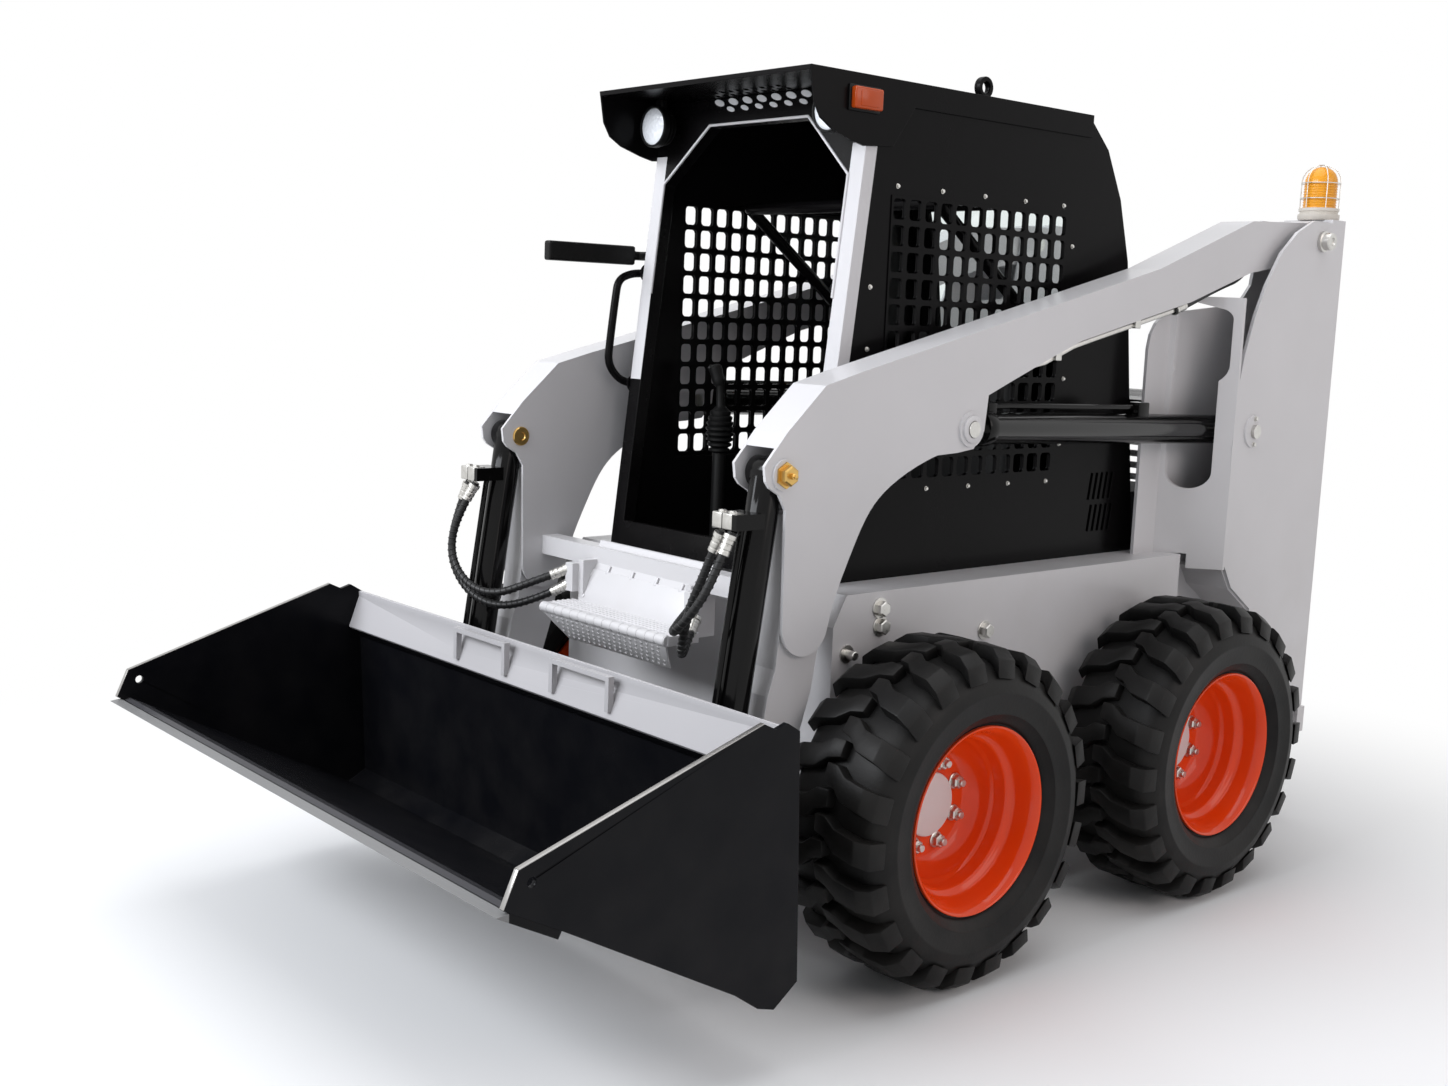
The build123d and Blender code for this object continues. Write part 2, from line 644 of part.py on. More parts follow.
def cylinder_rod(base, eye, tail, radius, eye_r, eye_half):
    length = math.hypot(eye[0] - base[0], eye[1] - base[1])
    bar = rod(ARM_X, along(base, eye, tail), along(base, eye, length - 10), radius)
    bar += cross_pin(ARM_X - eye_half, ARM_X + eye_half, eye, eye_r)
    bar -= cross_pin(ARM_X - 100, ARM_X + 100, eye, PIN_R + 0.06)
    return both(bar)


# Tool


def floor_point(back, up):
    """Point on the bucket floor, measured back from the cutting edge and up from its underside."""
    c = math.cos(math.radians(BUCKET_CURL))
    s = math.sin(math.radians(BUCKET_CURL))
    return (EDGE_TIP[0] + back * c + up * s, EDGE_TIP[1] - back * s + up * c)


BUCKET_BACK_TOP = (-652.0, 735.0)
BUCKET_BACK_LOW = (-628.0, 203.0)


def bucket():
    half = BUCKET_HALF - BUCKET_SIDE_T
    sheet = BUCKET_SHEET
    heel = floor_point(752, EDGE_T)
    heel_in = floor_point(745, EDGE_T + sheet)
    shell = side_plate([
        BUCKET_BACK_TOP, BUCKET_BACK_LOW, heel, floor_point(30, EDGE_T), floor_point(40, EDGE_T + sheet),
        heel_in, (BUCKET_BACK_LOW[0] - sheet, BUCKET_BACK_LOW[1] + 8),
        (BUCKET_BACK_TOP[0] - sheet, BUCKET_BACK_TOP[1])], -half, half)
    rail = side_plate([
        BUCKET_BACK_TOP, (-647, 612), (-657, 604), (-692, 636), (-656, 736)], -half, half)
    side = side_plate([
        floor_point(8, EDGE_T), (-1318, 584), (-750, 763), (-716, 747), (-687, 756), BUCKET_BACK_TOP,
        BUCKET_BACK_LOW, (-691, 158), (-736, 172), (-798, 216), floor_point(160, EDGE_T)],
        half, BUCKET_HALF)
    side = side - cross_pin(half - 1, BUCKET_HALF + 1, (-1290, 556), 10)
    tread = slab(95, 330, -696, -680, 652, 734) - slab(109, 316, -700, -670, 640, 722)
    return shell + rail + both(side) + both(tread)


def cutting_edge():
    return side_plate([
        floor_point(0, 0), floor_point(EDGE_LONG, 0), floor_point(EDGE_LONG, EDGE_T),
        floor_point(24, EDGE_T)], -BUCKET_HALF, BUCKET_HALF)


def back_line(z, behind):
    """Point behind the bucket's back at a height."""
    top, low = BUCKET_BACK_TOP, BUCKET_BACK_LOW
    share = (z - low[1]) / (top[1] - low[1])
    return (low[0] + (top[0] - low[0]) * share + behind, z)


def coupler():
    plate = side_plate([back_line(600, 0), back_line(215, 0), back_line(215, 24), back_line(600, 24)],
                       -590, 590)
    plate = plate - slab(-400, 400, -700, -500, 290, 530)
    rim_edges = (Pos(*TILT_ROD_EYE) * Circle(44)).edges() + (Pos(*TOOL_HINGE) * Circle(48)).edges()
    rim_edges = rim_edges + [Line(back_line(520, 12), back_line(225, 12))]
    ear_face = make_hull(rim_edges)
    ears = None
    for x0 in (ARM_X - EAR_HALF - EAR_T, ARM_X + EAR_HALF):
        ear = extrude(Plane.YZ.offset(x0) * ear_face, amount=EAR_T)
        ear -= cross_pin(x0 - 1, x0 + EAR_T + 1, TILT_ROD_EYE, PIN_R + 0.1)
        ear -= cross_pin(x0 - 1, x0 + EAR_T + 1, TOOL_HINGE, PIN_R + 0.06)
        ears = ear if ears is None else ears + ear
    tool = plate + both(ears)
    cut = side_plate([back_line(640, 0), back_line(150, 0), back_line(150, -200), back_line(640, -200)],
                     -900, 900)
    return tool - cut


# Hoses on the tilt cylinders


def hose(points, radius):
    """Hose that leaves its upper fitting straight down and enters the lower one along X."""
    inward = -1 if points[0][0] > 0 else 1
    path = Spline(*points, tangents=[(0, 0, -1), (inward, 0, 0)])
    start = Plane(origin=path @ 0, z_dir=path % 0)
    return sweep(start * Circle(radius), path=path)


HOSE_R = 10.0
HOSE_LEFT_LOW = [(496, -520, 1079), (455, -534, 970), (408, -538, 880), (352, -508, 762),
                 (300, -450, 770), (262, -385, 832)]
HOSE_LEFT_HIGH = [(530, -520, 1079), (508, -556, 960), (462, -580, 880), (404, -582, 832),
                  (332, -492, 846), (262, -385, 872)]
HOSE_RIGHT_LOW = [(-548, -520, 1079), (-592, -538, 970), (-600, -546, 860), (-515, -536, 775),
                  (-410, -505, 752), (-315, -440, 790), (-262, -385, 832)]
HOSE_RIGHT_HIGH = [(-514, -520, 1079), (-556, -556, 980), (-566, -566, 880), (-495, -560, 808),
                   (-400, -530, 790), (-325, -462, 832), (-262, -385, 872)]


# Export


NODES = {
    "main_frame": main_frame(),
    "upright_left": upright(),
    "upright_right": right_of(upright()) + door_hinge_pins(),
    "frame_pins": frame_pins(),
    "axle_tubes": both(axle_tube(0)) + both(axle_tube(WHEELBASE)),
    "engine": engine(),
    "engine_cover": engine_cover(),
    "tail_lamps": tail_lamps(),
    "beacon_base": beacon_base(),
    "beacon_lens": beacon_lens(),
    "cab_front": cab_front(),
    "cab_side_left": cab_side(),
    "cab_side_right": right_of(cab_side()),
    "cab_rear": cab_rear(),
    "rear_window": rear_window(),
    "cab_roof": cab_roof(),
    "cab_floor": cab_floor(),
    "seat": seat(),
    "control_levers": control_levers(),
    "work_lamps": work_lamps(),
    "marker_lamps": marker_lamps(),
    "lifting_eyes": lifting_eyes(),
    "grab_handle": grab_handle(),
    "mirror": mirror_housing(),
    "rear_door": rear_door(),
    "seat_bar": seat_bar(),
    "arm_left": arm_left(),
    "arm_right": right_of(arm_left()),
    "arm_crossmember": arm_crossmember(),
    "arm_pins": arm_pins(),
    "lift_barrels": cylinder_barrel(LIFT_BASE, LIFT_ROD_EYE, LIFT_GLAND, LIFT_BARREL_R, LIFT_ROD_R, 36),
    "lift_rods": cylinder_rod(LIFT_BASE, LIFT_ROD_EYE, LIFT_ROD_TAIL, LIFT_ROD_R, 38, 34),
    "tilt_barrels": tilt_barrels(),
    "tilt_rods": cylinder_rod(TILT_BASE, TILT_ROD_EYE, 130, TILT_ROD_R, 34, 34),
    "bucket": bucket(),
    "cutting_edge": cutting_edge(),
    "coupler": coupler(),
    "tilt_hose_left_low": hose(HOSE_LEFT_LOW, HOSE_R),
    "tilt_hose_left_high": hose(HOSE_LEFT_HIGH, HOSE_R),
    "tilt_hose_right_low": hose(HOSE_RIGHT_LOW, HOSE_R),
    "tilt_hose_right_high": hose(HOSE_RIGHT_HIGH, HOSE_R),
}
for name, axle_y, turn in (("front", 0, None), ("rear", WHEELBASE, None)):
    for side in ("left", "right"):
        wheel_tyre = tyre(axle_y)
        wheel_rim = rim(axle_y)
        if side == "right":
            wheel_tyre = right_of(wheel_tyre)
            wheel_rim = right_of(wheel_rim)
        NODES["tyre_" + name + "_" + side] = wheel_tyre
        NODES["rim_" + name + "_" + side] = wheel_rim

os.makedirs("parts", exist_ok=True)
for node, shape in NODES.items():
    export_step(Pos(0, FRONT_AXLE_Y, 0) * shape, "parts/" + node + ".step")
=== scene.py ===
"""Looks of a skid steer loader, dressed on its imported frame."""
import math

import bpy
from mathutils import Matrix, Vector


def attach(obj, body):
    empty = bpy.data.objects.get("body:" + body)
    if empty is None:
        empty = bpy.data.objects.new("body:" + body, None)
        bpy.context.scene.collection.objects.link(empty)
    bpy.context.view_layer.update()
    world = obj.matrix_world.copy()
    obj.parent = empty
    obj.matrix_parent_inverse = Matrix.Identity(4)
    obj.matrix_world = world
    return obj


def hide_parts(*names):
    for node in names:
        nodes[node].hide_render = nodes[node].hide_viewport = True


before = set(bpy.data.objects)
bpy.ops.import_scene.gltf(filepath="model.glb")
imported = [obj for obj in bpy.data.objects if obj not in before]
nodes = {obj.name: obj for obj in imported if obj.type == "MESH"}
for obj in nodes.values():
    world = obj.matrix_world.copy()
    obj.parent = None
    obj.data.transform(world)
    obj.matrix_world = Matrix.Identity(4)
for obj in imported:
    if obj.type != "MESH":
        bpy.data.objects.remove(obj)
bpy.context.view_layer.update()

# Studio
# A pale workshop floor under an even white sky. A cool window light comes from ahead of the
# machine and a weaker warm one from its left, and the floor fades to white away from it.


def new_finish(name):
    """Empty finish, with its node tree and its skin."""
    made = bpy.data.materials.new(name)
    made.use_nodes = True
    return made, made.node_tree, made.node_tree.nodes["Principled BSDF"]


def set_inputs(node, values):
    for socket, value in values.items():
        node.inputs[socket].default_value = value


def worked_out(tree, operation, first, second):
    """Result of one operation on two sockets."""
    node = tree.nodes.new("ShaderNodeMath")
    node.operation = operation
    tree.links.new(first, node.inputs[0])
    tree.links.new(second, node.inputs[1])
    return node.outputs[0]


def on_object(tree):
    return tree.nodes.new("ShaderNodeTexCoord").outputs["Object"]


def ranged(tree, source, start, end, low=0.0, high=1.0, easing="LINEAR"):
    """Source mapped from one range of values to another."""
    span = tree.nodes.new("ShaderNodeMapRange")
    span.interpolation_type = easing
    set_inputs(span, {"From Min": start, "From Max": end, "To Min": low, "To Max": high})
    tree.links.new(source, span.inputs["Value"])
    return span.outputs["Result"]


def direct_view(tree):
    """1 for what the camera sees, also through glass or in a glossy face, and 0 elsewhere."""
    path = tree.nodes.new("ShaderNodeLightPath").outputs
    seen = worked_out(tree, "MAXIMUM", path["Is Camera Ray"], path["Is Transmission Ray"])
    return worked_out(tree, "MAXIMUM", seen, path["Is Glossy Ray"])


def shared_out(tree, share, under, over, output):
    """Two shaders mixed by a share, on an output node."""
    mix = tree.nodes.new("ShaderNodeMixShader")
    tree.links.new(share, mix.inputs["Fac"])
    tree.links.new(under.outputs[0], mix.inputs[1])
    tree.links.new(over.outputs[0], mix.inputs[2])
    tree.links.new(mix.outputs[0], output.inputs["Surface"])


FADE_START = 1.3
FADE_END = 3.4
WHITE = (1, 1, 1, 1)
bpy.ops.object.select_all(action="DESELECT")
bpy.ops.mesh.primitive_plane_add(size=60, location=(0, 0, 0))
floor = bpy.context.object
floor.name = "studio_floor"
floor_paint, floor_tree, floor_skin = new_finish("studio_floor")
set_inputs(floor_skin, {"Base Color": (0.88, 0.88, 0.88, 1), "Roughness": 0.9, "Specular IOR Level": 0.1})
floor_away = floor_tree.nodes.new("ShaderNodeVectorMath")
floor_away.operation = "LENGTH"
floor_tree.links.new(on_object(floor_tree), floor_away.inputs[0])
floor_fade = ranged(floor_tree, floor_away.outputs["Value"], FADE_START, FADE_END, easing="SMOOTHSTEP")
floor_share = worked_out(floor_tree, "MULTIPLY", floor_fade, direct_view(floor_tree))
floor_white = floor_tree.nodes.new("ShaderNodeEmission")
set_inputs(floor_white, {"Color": WHITE, "Strength": 1.0})
shared_out(floor_tree, floor_share, floor_skin, floor_white, floor_tree.nodes["Material Output"])
floor.data.materials.append(floor_paint)

scene = bpy.context.scene
scene.view_settings.view_transform = "Standard"
sky = bpy.data.worlds.new("studio_sky")
scene.world = sky
sky.use_nodes = True
sky_tree = sky.node_tree
sky_tree.nodes.clear()
sky_soft = sky_tree.nodes.new("ShaderNodeBackground")
set_inputs(sky_soft, {"Color": (0.94, 0.96, 1.0, 1), "Strength": 0.36})
sky_plain = sky_tree.nodes.new("ShaderNodeBackground")
set_inputs(sky_plain, {"Color": WHITE, "Strength": 1.0})
sky_out = sky_tree.nodes.new("ShaderNodeOutputWorld")
shared_out(sky_tree, direct_view(sky_tree), sky_soft, sky_plain, sky_out)


def studio_light(name, place, aim, size, power, colour):
    bpy.ops.object.light_add(type="AREA", location=place)
    lamp = bpy.context.object
    lamp.name = name
    lamp.data.shape = "RECTANGLE"
    lamp.data.size = size[0]
    lamp.data.size_y = size[1]
    lamp.data.energy = power
    lamp.data.color = colour
    lamp.rotation_euler = (Vector(aim) - Vector(place)).to_track_quat("-Z", "Y").to_euler()


studio_light("window_ahead", (-1.5, -6.5, 4.5), (0, 0, 0.9), (6, 3), 560, (0.92, 0.95, 1.0))
studio_light("window_left", (6.5, 1.5, 4.0), (0, 0.3, 0.9), (6, 3), 100, (1.0, 0.90, 0.87))
studio_light("skylight", (0, 0, 7.0), (0, 0, 0), (7, 7), 240, (0.97, 0.98, 1.0))

# Camera
# Where the photographer stood: off the machine's left front corner, at shoulder height, a few
# metres away. Places along the machine are measured back from its front axle.
AXLE = -0.275
YAW, PITCH, ROLL = 0.851, 0.1438, -0.0386
SENSOR = 36
FOCAL_PIXELS = 1586.84
PHOTO_PIXELS = 1448


def aft(x, y, z):
    """Place whose Y is measured back from the front axle."""
    return Vector((x, y + AXLE, z))


ahead = Vector((-math.sin(YAW) * math.cos(PITCH), math.cos(YAW) * math.cos(PITCH), -math.sin(PITCH)))
level = Vector((math.cos(YAW), math.sin(YAW), 0))
down = ahead.cross(level)
across = math.cos(ROLL) * level + math.sin(ROLL) * down
below = -math.sin(ROLL) * level + math.cos(ROLL) * down
bpy.ops.object.camera_add(location=aft(3.1148, -2.8084, 1.5541))
camera = bpy.context.object
camera.rotation_euler = Matrix((across, -below, -ahead)).transposed().to_euler()
camera.data.sensor_fit = "HORIZONTAL"
camera.data.sensor_width = SENSOR
camera.data.lens = SENSOR * FOCAL_PIXELS / PHOTO_PIXELS
scene.camera = camera

# Tilt hoses
# Two pressure hoses hang from each tilt cylinder's port block to the pipes on the cross member.
# Braided hose with a black rubber cover and a spiral guard, and a crimped steel end on each.
HOSE_ROUTES = {
    "tilt_hose_left_low": [(0.496, -0.520, 1.079), (0.455, -0.534, 0.970), (0.408, -0.538, 0.880),
                           (0.352, -0.508, 0.762), (0.300, -0.450, 0.770), (0.262, -0.385, 0.832)],
    "tilt_hose_left_high": [(0.530, -0.520, 1.079), (0.508, -0.556, 0.960), (0.462, -0.580, 0.880),
                            (0.404, -0.582, 0.832), (0.332, -0.492, 0.846), (0.262, -0.385, 0.872)],
    "tilt_hose_right_low": [(-0.548, -0.520, 1.079), (-0.592, -0.538, 0.970), (-0.600, -0.546, 0.860),
                            (-0.515, -0.536, 0.775), (-0.410, -0.505, 0.752), (-0.315, -0.440, 0.790),
                            (-0.262, -0.385, 0.832)],
    "tilt_hose_right_high": [(-0.514, -0.520, 1.079), (-0.556, -0.556, 0.980), (-0.566, -0.566, 0.880),
                             (-0.495, -0.560, 0.808), (-0.400, -0.530, 0.790), (-0.325, -0.462, 0.832),
                             (-0.262, -0.385, 0.872)],
}
HOSE_R = 0.010
WRAP_R = 0.0017
WRAP_PITCH = 0.016
WRAP_CLEAR = 0.058
WRAP_STEPS = 14
CRIMP = [(0, 0.0080), (0.005, 0.0080), (0.006, 0.0155), (0.016, 0.0155), (0.017, 0.0125), (0.0185, 0.0125),
         (0.019, 0.0140), (0.026, 0.0140), (0.0275, 0.0128), (0.030, 0.0128), (0.0315, 0.0140),
         (0.040, 0.0140), (0.0415, 0.0128), (0.044, 0.0128), (0.0455, 0.0140), (0.053, 0.0140),
         (0.055, 0.0112)]
SMOOTH_ANGLE = 0.6


def clouds(tree, scale, detail=2.0):
    """Noise laid on the object."""
    noise = tree.nodes.new("ShaderNodeTexNoise")
    set_inputs(noise, {"Scale": scale, "Detail": detail})
    tree.links.new(on_object(tree), noise.inputs["Vector"])
    return noise.outputs["Fac"]


def bumped(tree, height, strength, distance, normal):
    """Relief from a height, on a normal socket."""
    bump = tree.nodes.new("ShaderNodeBump")
    set_inputs(bump, {"Strength": strength, "Distance": distance})
    tree.links.new(height, bump.inputs["Height"])
    tree.links.new(bump.outputs["Normal"], normal)
    return bump


def grained(name, scale, dark, light, smooth, rough):
    """Finish whose tone and roughness follow one grain, with that grain."""
    made, tree, skin = new_finish(name)
    grain = clouds(tree, scale)
    tone = tree.nodes.new("ShaderNodeValToRGB")
    tone.color_ramp.elements[0].color = (*dark, 1)
    tone.color_ramp.elements[1].color = (*light, 1)
    tree.links.new(grain, tone.inputs["Fac"])
    tree.links.new(tone.outputs["Color"], skin.inputs["Base Color"])
    tree.links.new(ranged(tree, grain, 0.0, 1.0, smooth, rough), skin.inputs["Roughness"])
    return made, skin, grain


hose_rubber, hose_skin, hose_grain = grained("hose_rubber", 260, (0.006, 0.006, 0.006),
                                             (0.016, 0.016, 0.017), 0.34, 0.52)
hose_skin.inputs["Specular IOR Level"].default_value = 0.35
bumped(hose_rubber.node_tree, hose_grain, 0.12, 0.002, hose_skin.inputs["Normal"])
plated_steel, plated_skin, _ = grained("plated_steel", 90, (0.50, 0.49, 0.46),
                                       (0.68, 0.67, 0.65), 0.22, 0.42)
plated_skin.inputs["Metallic"].default_value = 1.0


def turned_to(facing):
    """Turn that points a piece's own Z along a direction."""
    return Vector(facing).to_track_quat("Z", "Y").to_matrix().to_4x4()


def turned_piece(name, steps, sides, place=(0, 0, 0), facing=(0, 0, 1), hollow=False):
    """Round or hexagonal piece from (height, radius) steps above its foot, along facing."""
    bpy.ops.object.select_all(action="DESELECT")
    height, radius = steps[0]
    fill = "NOTHING" if hollow else "NGON"
    bpy.ops.mesh.primitive_circle_add(vertices=sides, radius=radius, fill_type=fill)
    piece = bpy.context.object
    piece.name = name
    bpy.ops.object.mode_set(mode="EDIT")
    bpy.ops.mesh.select_mode(type="VERT")
    bpy.ops.mesh.select_all(action="SELECT")
    bpy.ops.transform.translate(value=(0, 0, height))
    for rise, wide in steps[1:]:
        bpy.ops.mesh.extrude_region_move(TRANSFORM_OT_translate={"value": (0, 0, rise - height)})
        bpy.ops.transform.resize(value=(wide / radius, wide / radius, 1))
        height, radius = rise, wide
    if hollow:
        bpy.ops.mesh.select_all(action="DESELECT")
        bpy.ops.mesh.select_mode(type="EDGE")
        bpy.ops.mesh.select_non_manifold()
        bpy.ops.mesh.bridge_edge_loops()
    bpy.ops.mesh.select_all(action="SELECT")
    bpy.ops.mesh.normals_make_consistent(inside=False)
    bpy.ops.object.mode_set(mode="OBJECT")
    bpy.ops.object.shade_smooth_by_angle(angle=SMOOTH_ANGLE)
    piece.data.transform(Matrix.Translation(place) @ turned_to(facing))
    return piece


def copied(piece, name, move):
    """Copy with its own mesh, moved by a matrix."""
    twin = piece.copy()
    twin.data = piece.data.copy()
    twin.name = name
    bpy.context.collection.objects.link(twin)
    twin.data.transform(move)
    if move.determinant() < 0:
        twin.data.flip_normals()
    return twin


def joined(name, pieces):
    """One object made of several."""
    bpy.ops.object.select_all(action="DESELECT")
    for piece in pieces:
        piece.select_set(True)
    bpy.context.view_layer.objects.active = pieces[0]
    bpy.ops.object.join()
    pieces[0].name = name
    return pieces[0]


def dressed(piece, body, finish):
    """Gives a new piece its body and its finish."""
    piece.data.materials.clear()
    piece.data.materials.append(finish)
    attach(piece, body)


def bent_line(name, points, radius, facets, smooth):
    """Round curve through points, or smoothly past them, with its line."""
    curve = bpy.data.curves.new(name, "CURVE")
    curve.dimensions = "3D"
    curve.bevel_depth = radius
    curve.bevel_resolution = facets
    line = curve.splines.new("NURBS" if smooth else "POLY")
    line.points.add(len(points) - 1)
    for knot, point in zip(line.points, points):
        knot.co = (*point, 1)
    if smooth:
        line.order_u = 3
        line.use_endpoint_u = True
    piece = bpy.data.objects.new(name, curve)
    bpy.context.collection.objects.link(piece)
    return piece, line


def pipe(name, points, radius, ring=12, smooth=False):
    """Bent round bar or tube with closed ends, as a mesh."""
    piece, _ = bent_line(name, points, radius, ring // 4, smooth)
    piece.data.use_fill_caps = True
    bpy.ops.object.select_all(action="DESELECT")
    piece.select_set(True)
    bpy.context.view_layer.objects.active = piece
    bpy.ops.object.convert(target="MESH")
    bpy.ops.object.shade_smooth_by_angle(angle=SMOOTH_ANGLE)
    return bpy.context.object


def hose_wrap(name, hose):
    """Spiral guard wound round a hose, between its two crimps."""
    bare = hose.copy()
    bare.data = hose.data.copy()
    bare.data.bevel_depth = 0
    centre_line = bpy.data.meshes.new_from_object(bare)
    spots = [point.co.copy() for point in centre_line.vertices]
    bpy.data.meshes.remove(centre_line)
    bpy.data.curves.remove(bare.data)
    travel = [0.0]
    for here, there in zip(spots, spots[1:]):
        travel.append(travel[-1] + (there - here).length)
    wound = []
    side = Vector((0, 1, 0))
    reach = WRAP_CLEAR
    stop = travel[-1] - WRAP_CLEAR
    count = 0
    while reach < stop:
        while travel[count + 1] < reach:
            count += 1
        along = (spots[count + 1] - spots[count]).normalized()
        here = spots[count] + along * (reach - travel[count])
        side = (side - along * side.dot(along)).normalized()
        turn = 2 * math.pi * reach / WRAP_PITCH
        wound.append(here + HOSE_R * (math.cos(turn) * side + math.sin(turn) * along.cross(side)))
        reach += WRAP_PITCH / WRAP_STEPS
    return pipe(name, wound, WRAP_R, 8)


for name, route in HOSE_ROUTES.items():
    points = [aft(*point) for point in route]
    hose, line = bent_line("run_" + name, points, HOSE_R, 4, True)
    hose.data.materials.append(hose_rubber)
    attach(hose, "arms")
    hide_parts(name)
    for label, tip, toward in (("upper", points[0], points[1]), ("lower", points[-1], points[-2])):
        crimp = turned_piece("crimp_" + label + "_" + name, CRIMP, 24, tip, toward - tip)
        dressed(crimp, "arms", plated_steel)
    wrap = hose_wrap("wrap_" + name, hose)
    dressed(wrap, "arms", hose_rubber)

# Main frame and uprights
# Chain cases, belly pan and rear uprights of welded steel plate in light grey gloss paint. The
# paint has a fine orange peel and faint tone changes, and thin dust lies on it low down.
DUST_TOP_Z = 1.1
DUST_FULL_Z = 0.2
film = bpy.data.node_groups.new("sprayed_film", "ShaderNodeTree")
for socket, kind, start in (("Colour", "Color", (0.8, 0.8, 0.8, 1)),
                            ("Dust colour", "Color", (0.42, 0.39, 0.35, 1)),
                            ("Dust", "Float", 0.1), ("Roughness", "Float", 0.25), ("Peel", "Float", 0.1)):
    made = film.interface.new_socket(name=socket, in_out="INPUT", socket_type="NodeSocket" + kind)
    made.default_value = start
for socket, kind in (("Colour", "Color"), ("Roughness", "Float"), ("Normal", "Vector")):
    film.interface.new_socket(name=socket, in_out="OUTPUT", socket_type="NodeSocket" + kind)
film_in = film.nodes.new("NodeGroupInput")
film_out = film.nodes.new("NodeGroupOutput")
film_tone = ranged(film, clouds(film, 1.7, 5), 0.3, 0.7, 0.94, 1.03)
film_grey = film.nodes.new("ShaderNodeCombineColor")
for channel in ("Red", "Green", "Blue"):
    film.links.new(film_tone, film_grey.inputs[channel])
film_toned = film.nodes.new("ShaderNodeMix")
film_toned.data_type = "RGBA"
film_toned.blend_type = "MULTIPLY"
film_toned.inputs["Factor"].default_value = 1.0
film.links.new(film_in.outputs["Colour"], film_toned.inputs["A"])
film.links.new(film_grey.outputs["Color"], film_toned.inputs["B"])
film_split = film.nodes.new("ShaderNodeSeparateXYZ")
film.links.new(on_object(film), film_split.inputs["Vector"])
film_low = ranged(film, film_split.outputs["Z"], DUST_TOP_Z, DUST_FULL_Z)
film_specks = worked_out(film, "MULTIPLY", film_low, ranged(film, clouds(film, 9, 8), 0.35, 0.75))
film_dust = worked_out(film, "MULTIPLY", film_specks, film_in.outputs["Dust"])
film_cover = film.nodes.new("ShaderNodeMix")
film_cover.data_type = "RGBA"
film.links.new(film_dust, film_cover.inputs["Factor"])
film.links.new(film_toned.outputs["Result"], film_cover.inputs["A"])
film.links.new(film_in.outputs["Dust colour"], film_cover.inputs["B"])
film.links.new(film_cover.outputs["Result"], film_out.inputs["Colour"])
film_smear = ranged(film, clouds(film, 14, 6), 0.35, 0.75, -0.015, 0.03)
film_rough = worked_out(film, "ADD", film_in.outputs["Roughness"], film_smear)
film.links.new(film_rough, film_out.inputs["Roughness"])
film_bump = bumped(film, clouds(film, 120), 1.0, 0.001, film_out.inputs["Normal"])
film.links.new(film_in.outputs["Peel"], film_bump.inputs["Strength"])


def coat(name, colour, roughness, peel, dust, gloss=0.5, metal=0.0):
    """Finish with the sprayed film over one colour."""
    made, tree, skin = new_finish(name)
    layer = tree.nodes.new("ShaderNodeGroup")
    layer.node_tree = film
    set_inputs(layer, {"Colour": (*colour, 1), "Roughness": roughness, "Peel": peel, "Dust": dust})
    tree.links.new(layer.outputs["Colour"], skin.inputs["Base Color"])
    tree.links.new(layer.outputs["Roughness"], skin.inputs["Roughness"])
    tree.links.new(layer.outputs["Normal"], skin.inputs["Normal"])
    set_inputs(skin, {"Specular IOR Level": gloss, "Metallic": metal})
    return made


def painted(finish, edge, *names):
    """Finish on CAD pieces, with their sharp edges eased by a small radius."""
    for name in names:
        piece = nodes[name]
        piece.data.materials.clear()
        piece.data.materials.append(finish)
        if edge:
            weld = piece.modifiers.new("weld", "WELD")
            weld.merge_threshold = 0.00002
            ease = piece.modifiers.new("eased_edges", "BEVEL")
            ease.width = edge
            ease.segments = 2
            ease.limit_method = "ANGLE"
            ease.angle_limit = math.radians(38)


GREY = (0.62, 0.61, 0.62)
grey_paint = coat("grey_machine_paint", GREY, 0.30, 0.05, 0.30)
painted(grey_paint, 0.003, "main_frame", "upright_left", "upright_right")
bolt_head = turned_piece("bolt_head", [(0.0015, 0.0112), (0.011, 0.0112), (0.0125, 0.0095)], 6)
washer = turned_piece("washer", [(0, 0.0150), (0.0016, 0.0150), (0.002, 0.0145)], 20)
bolt_pattern = joined("bolt_pattern", [washer, bolt_head])


def bolts(name, places, facing, body, scale):
    """Plated bolt heads with washers at several places, as one piece."""
    made = []
    for place in places:
        move = Matrix.Translation(place) @ turned_to(facing) @ Matrix.Scale(scale, 4)
        made.append(copied(bolt_pattern, name, move))
    dressed(joined(name, made), body, plated_steel)


SIDES = (("left", 1), ("right", -1))
CASE_X = 0.530
CASE_BOLTS = ((-0.034, 0.864), (-0.030, 0.819), (0.363, 0.769))
CASE_STUD = [(0, 0.022), (0.004, 0.022), (0.005, 0.011), (0.030, 0.011), (0.032, 0.009)]
BASE_PIN_X = 0.616
PIVOT_X = 0.610
PIN_HEAD = [(0, 0.030), (0.004, 0.031), (0.010, 0.031), (0.012, 0.026), (0.030, 0.026), (0.034, 0.023),
            (0.035, 0.012), (0.031, 0.010)]
for side, sign in SIDES:
    outward = (sign, 0, 0)
    spots = [aft(sign * CASE_X, y, z) for y, z in CASE_BOLTS]
    bolts("case_bolts_" + side, spots, outward, "chassis", 1.7)
    spots = [aft(sign * BASE_PIN_X, 1.442, z) for z in (1.306, 1.230)]
    bolts("base_pin_bolts_" + side, spots, outward, "chassis", 0.55)
    stud = turned_piece("case_stud_" + side, CASE_STUD, 20, aft(sign * CASE_X, -0.143, 0.763), outward)
    dressed(stud, "chassis", plated_steel)
    head = turned_piece("pivot_pin_head_" + side, PIN_HEAD, 32, aft(sign * PIVOT_X, 1.743, 1.836), outward)
    dressed(head, "chassis", plated_steel)
painted(plated_steel, 0, "frame_pins")

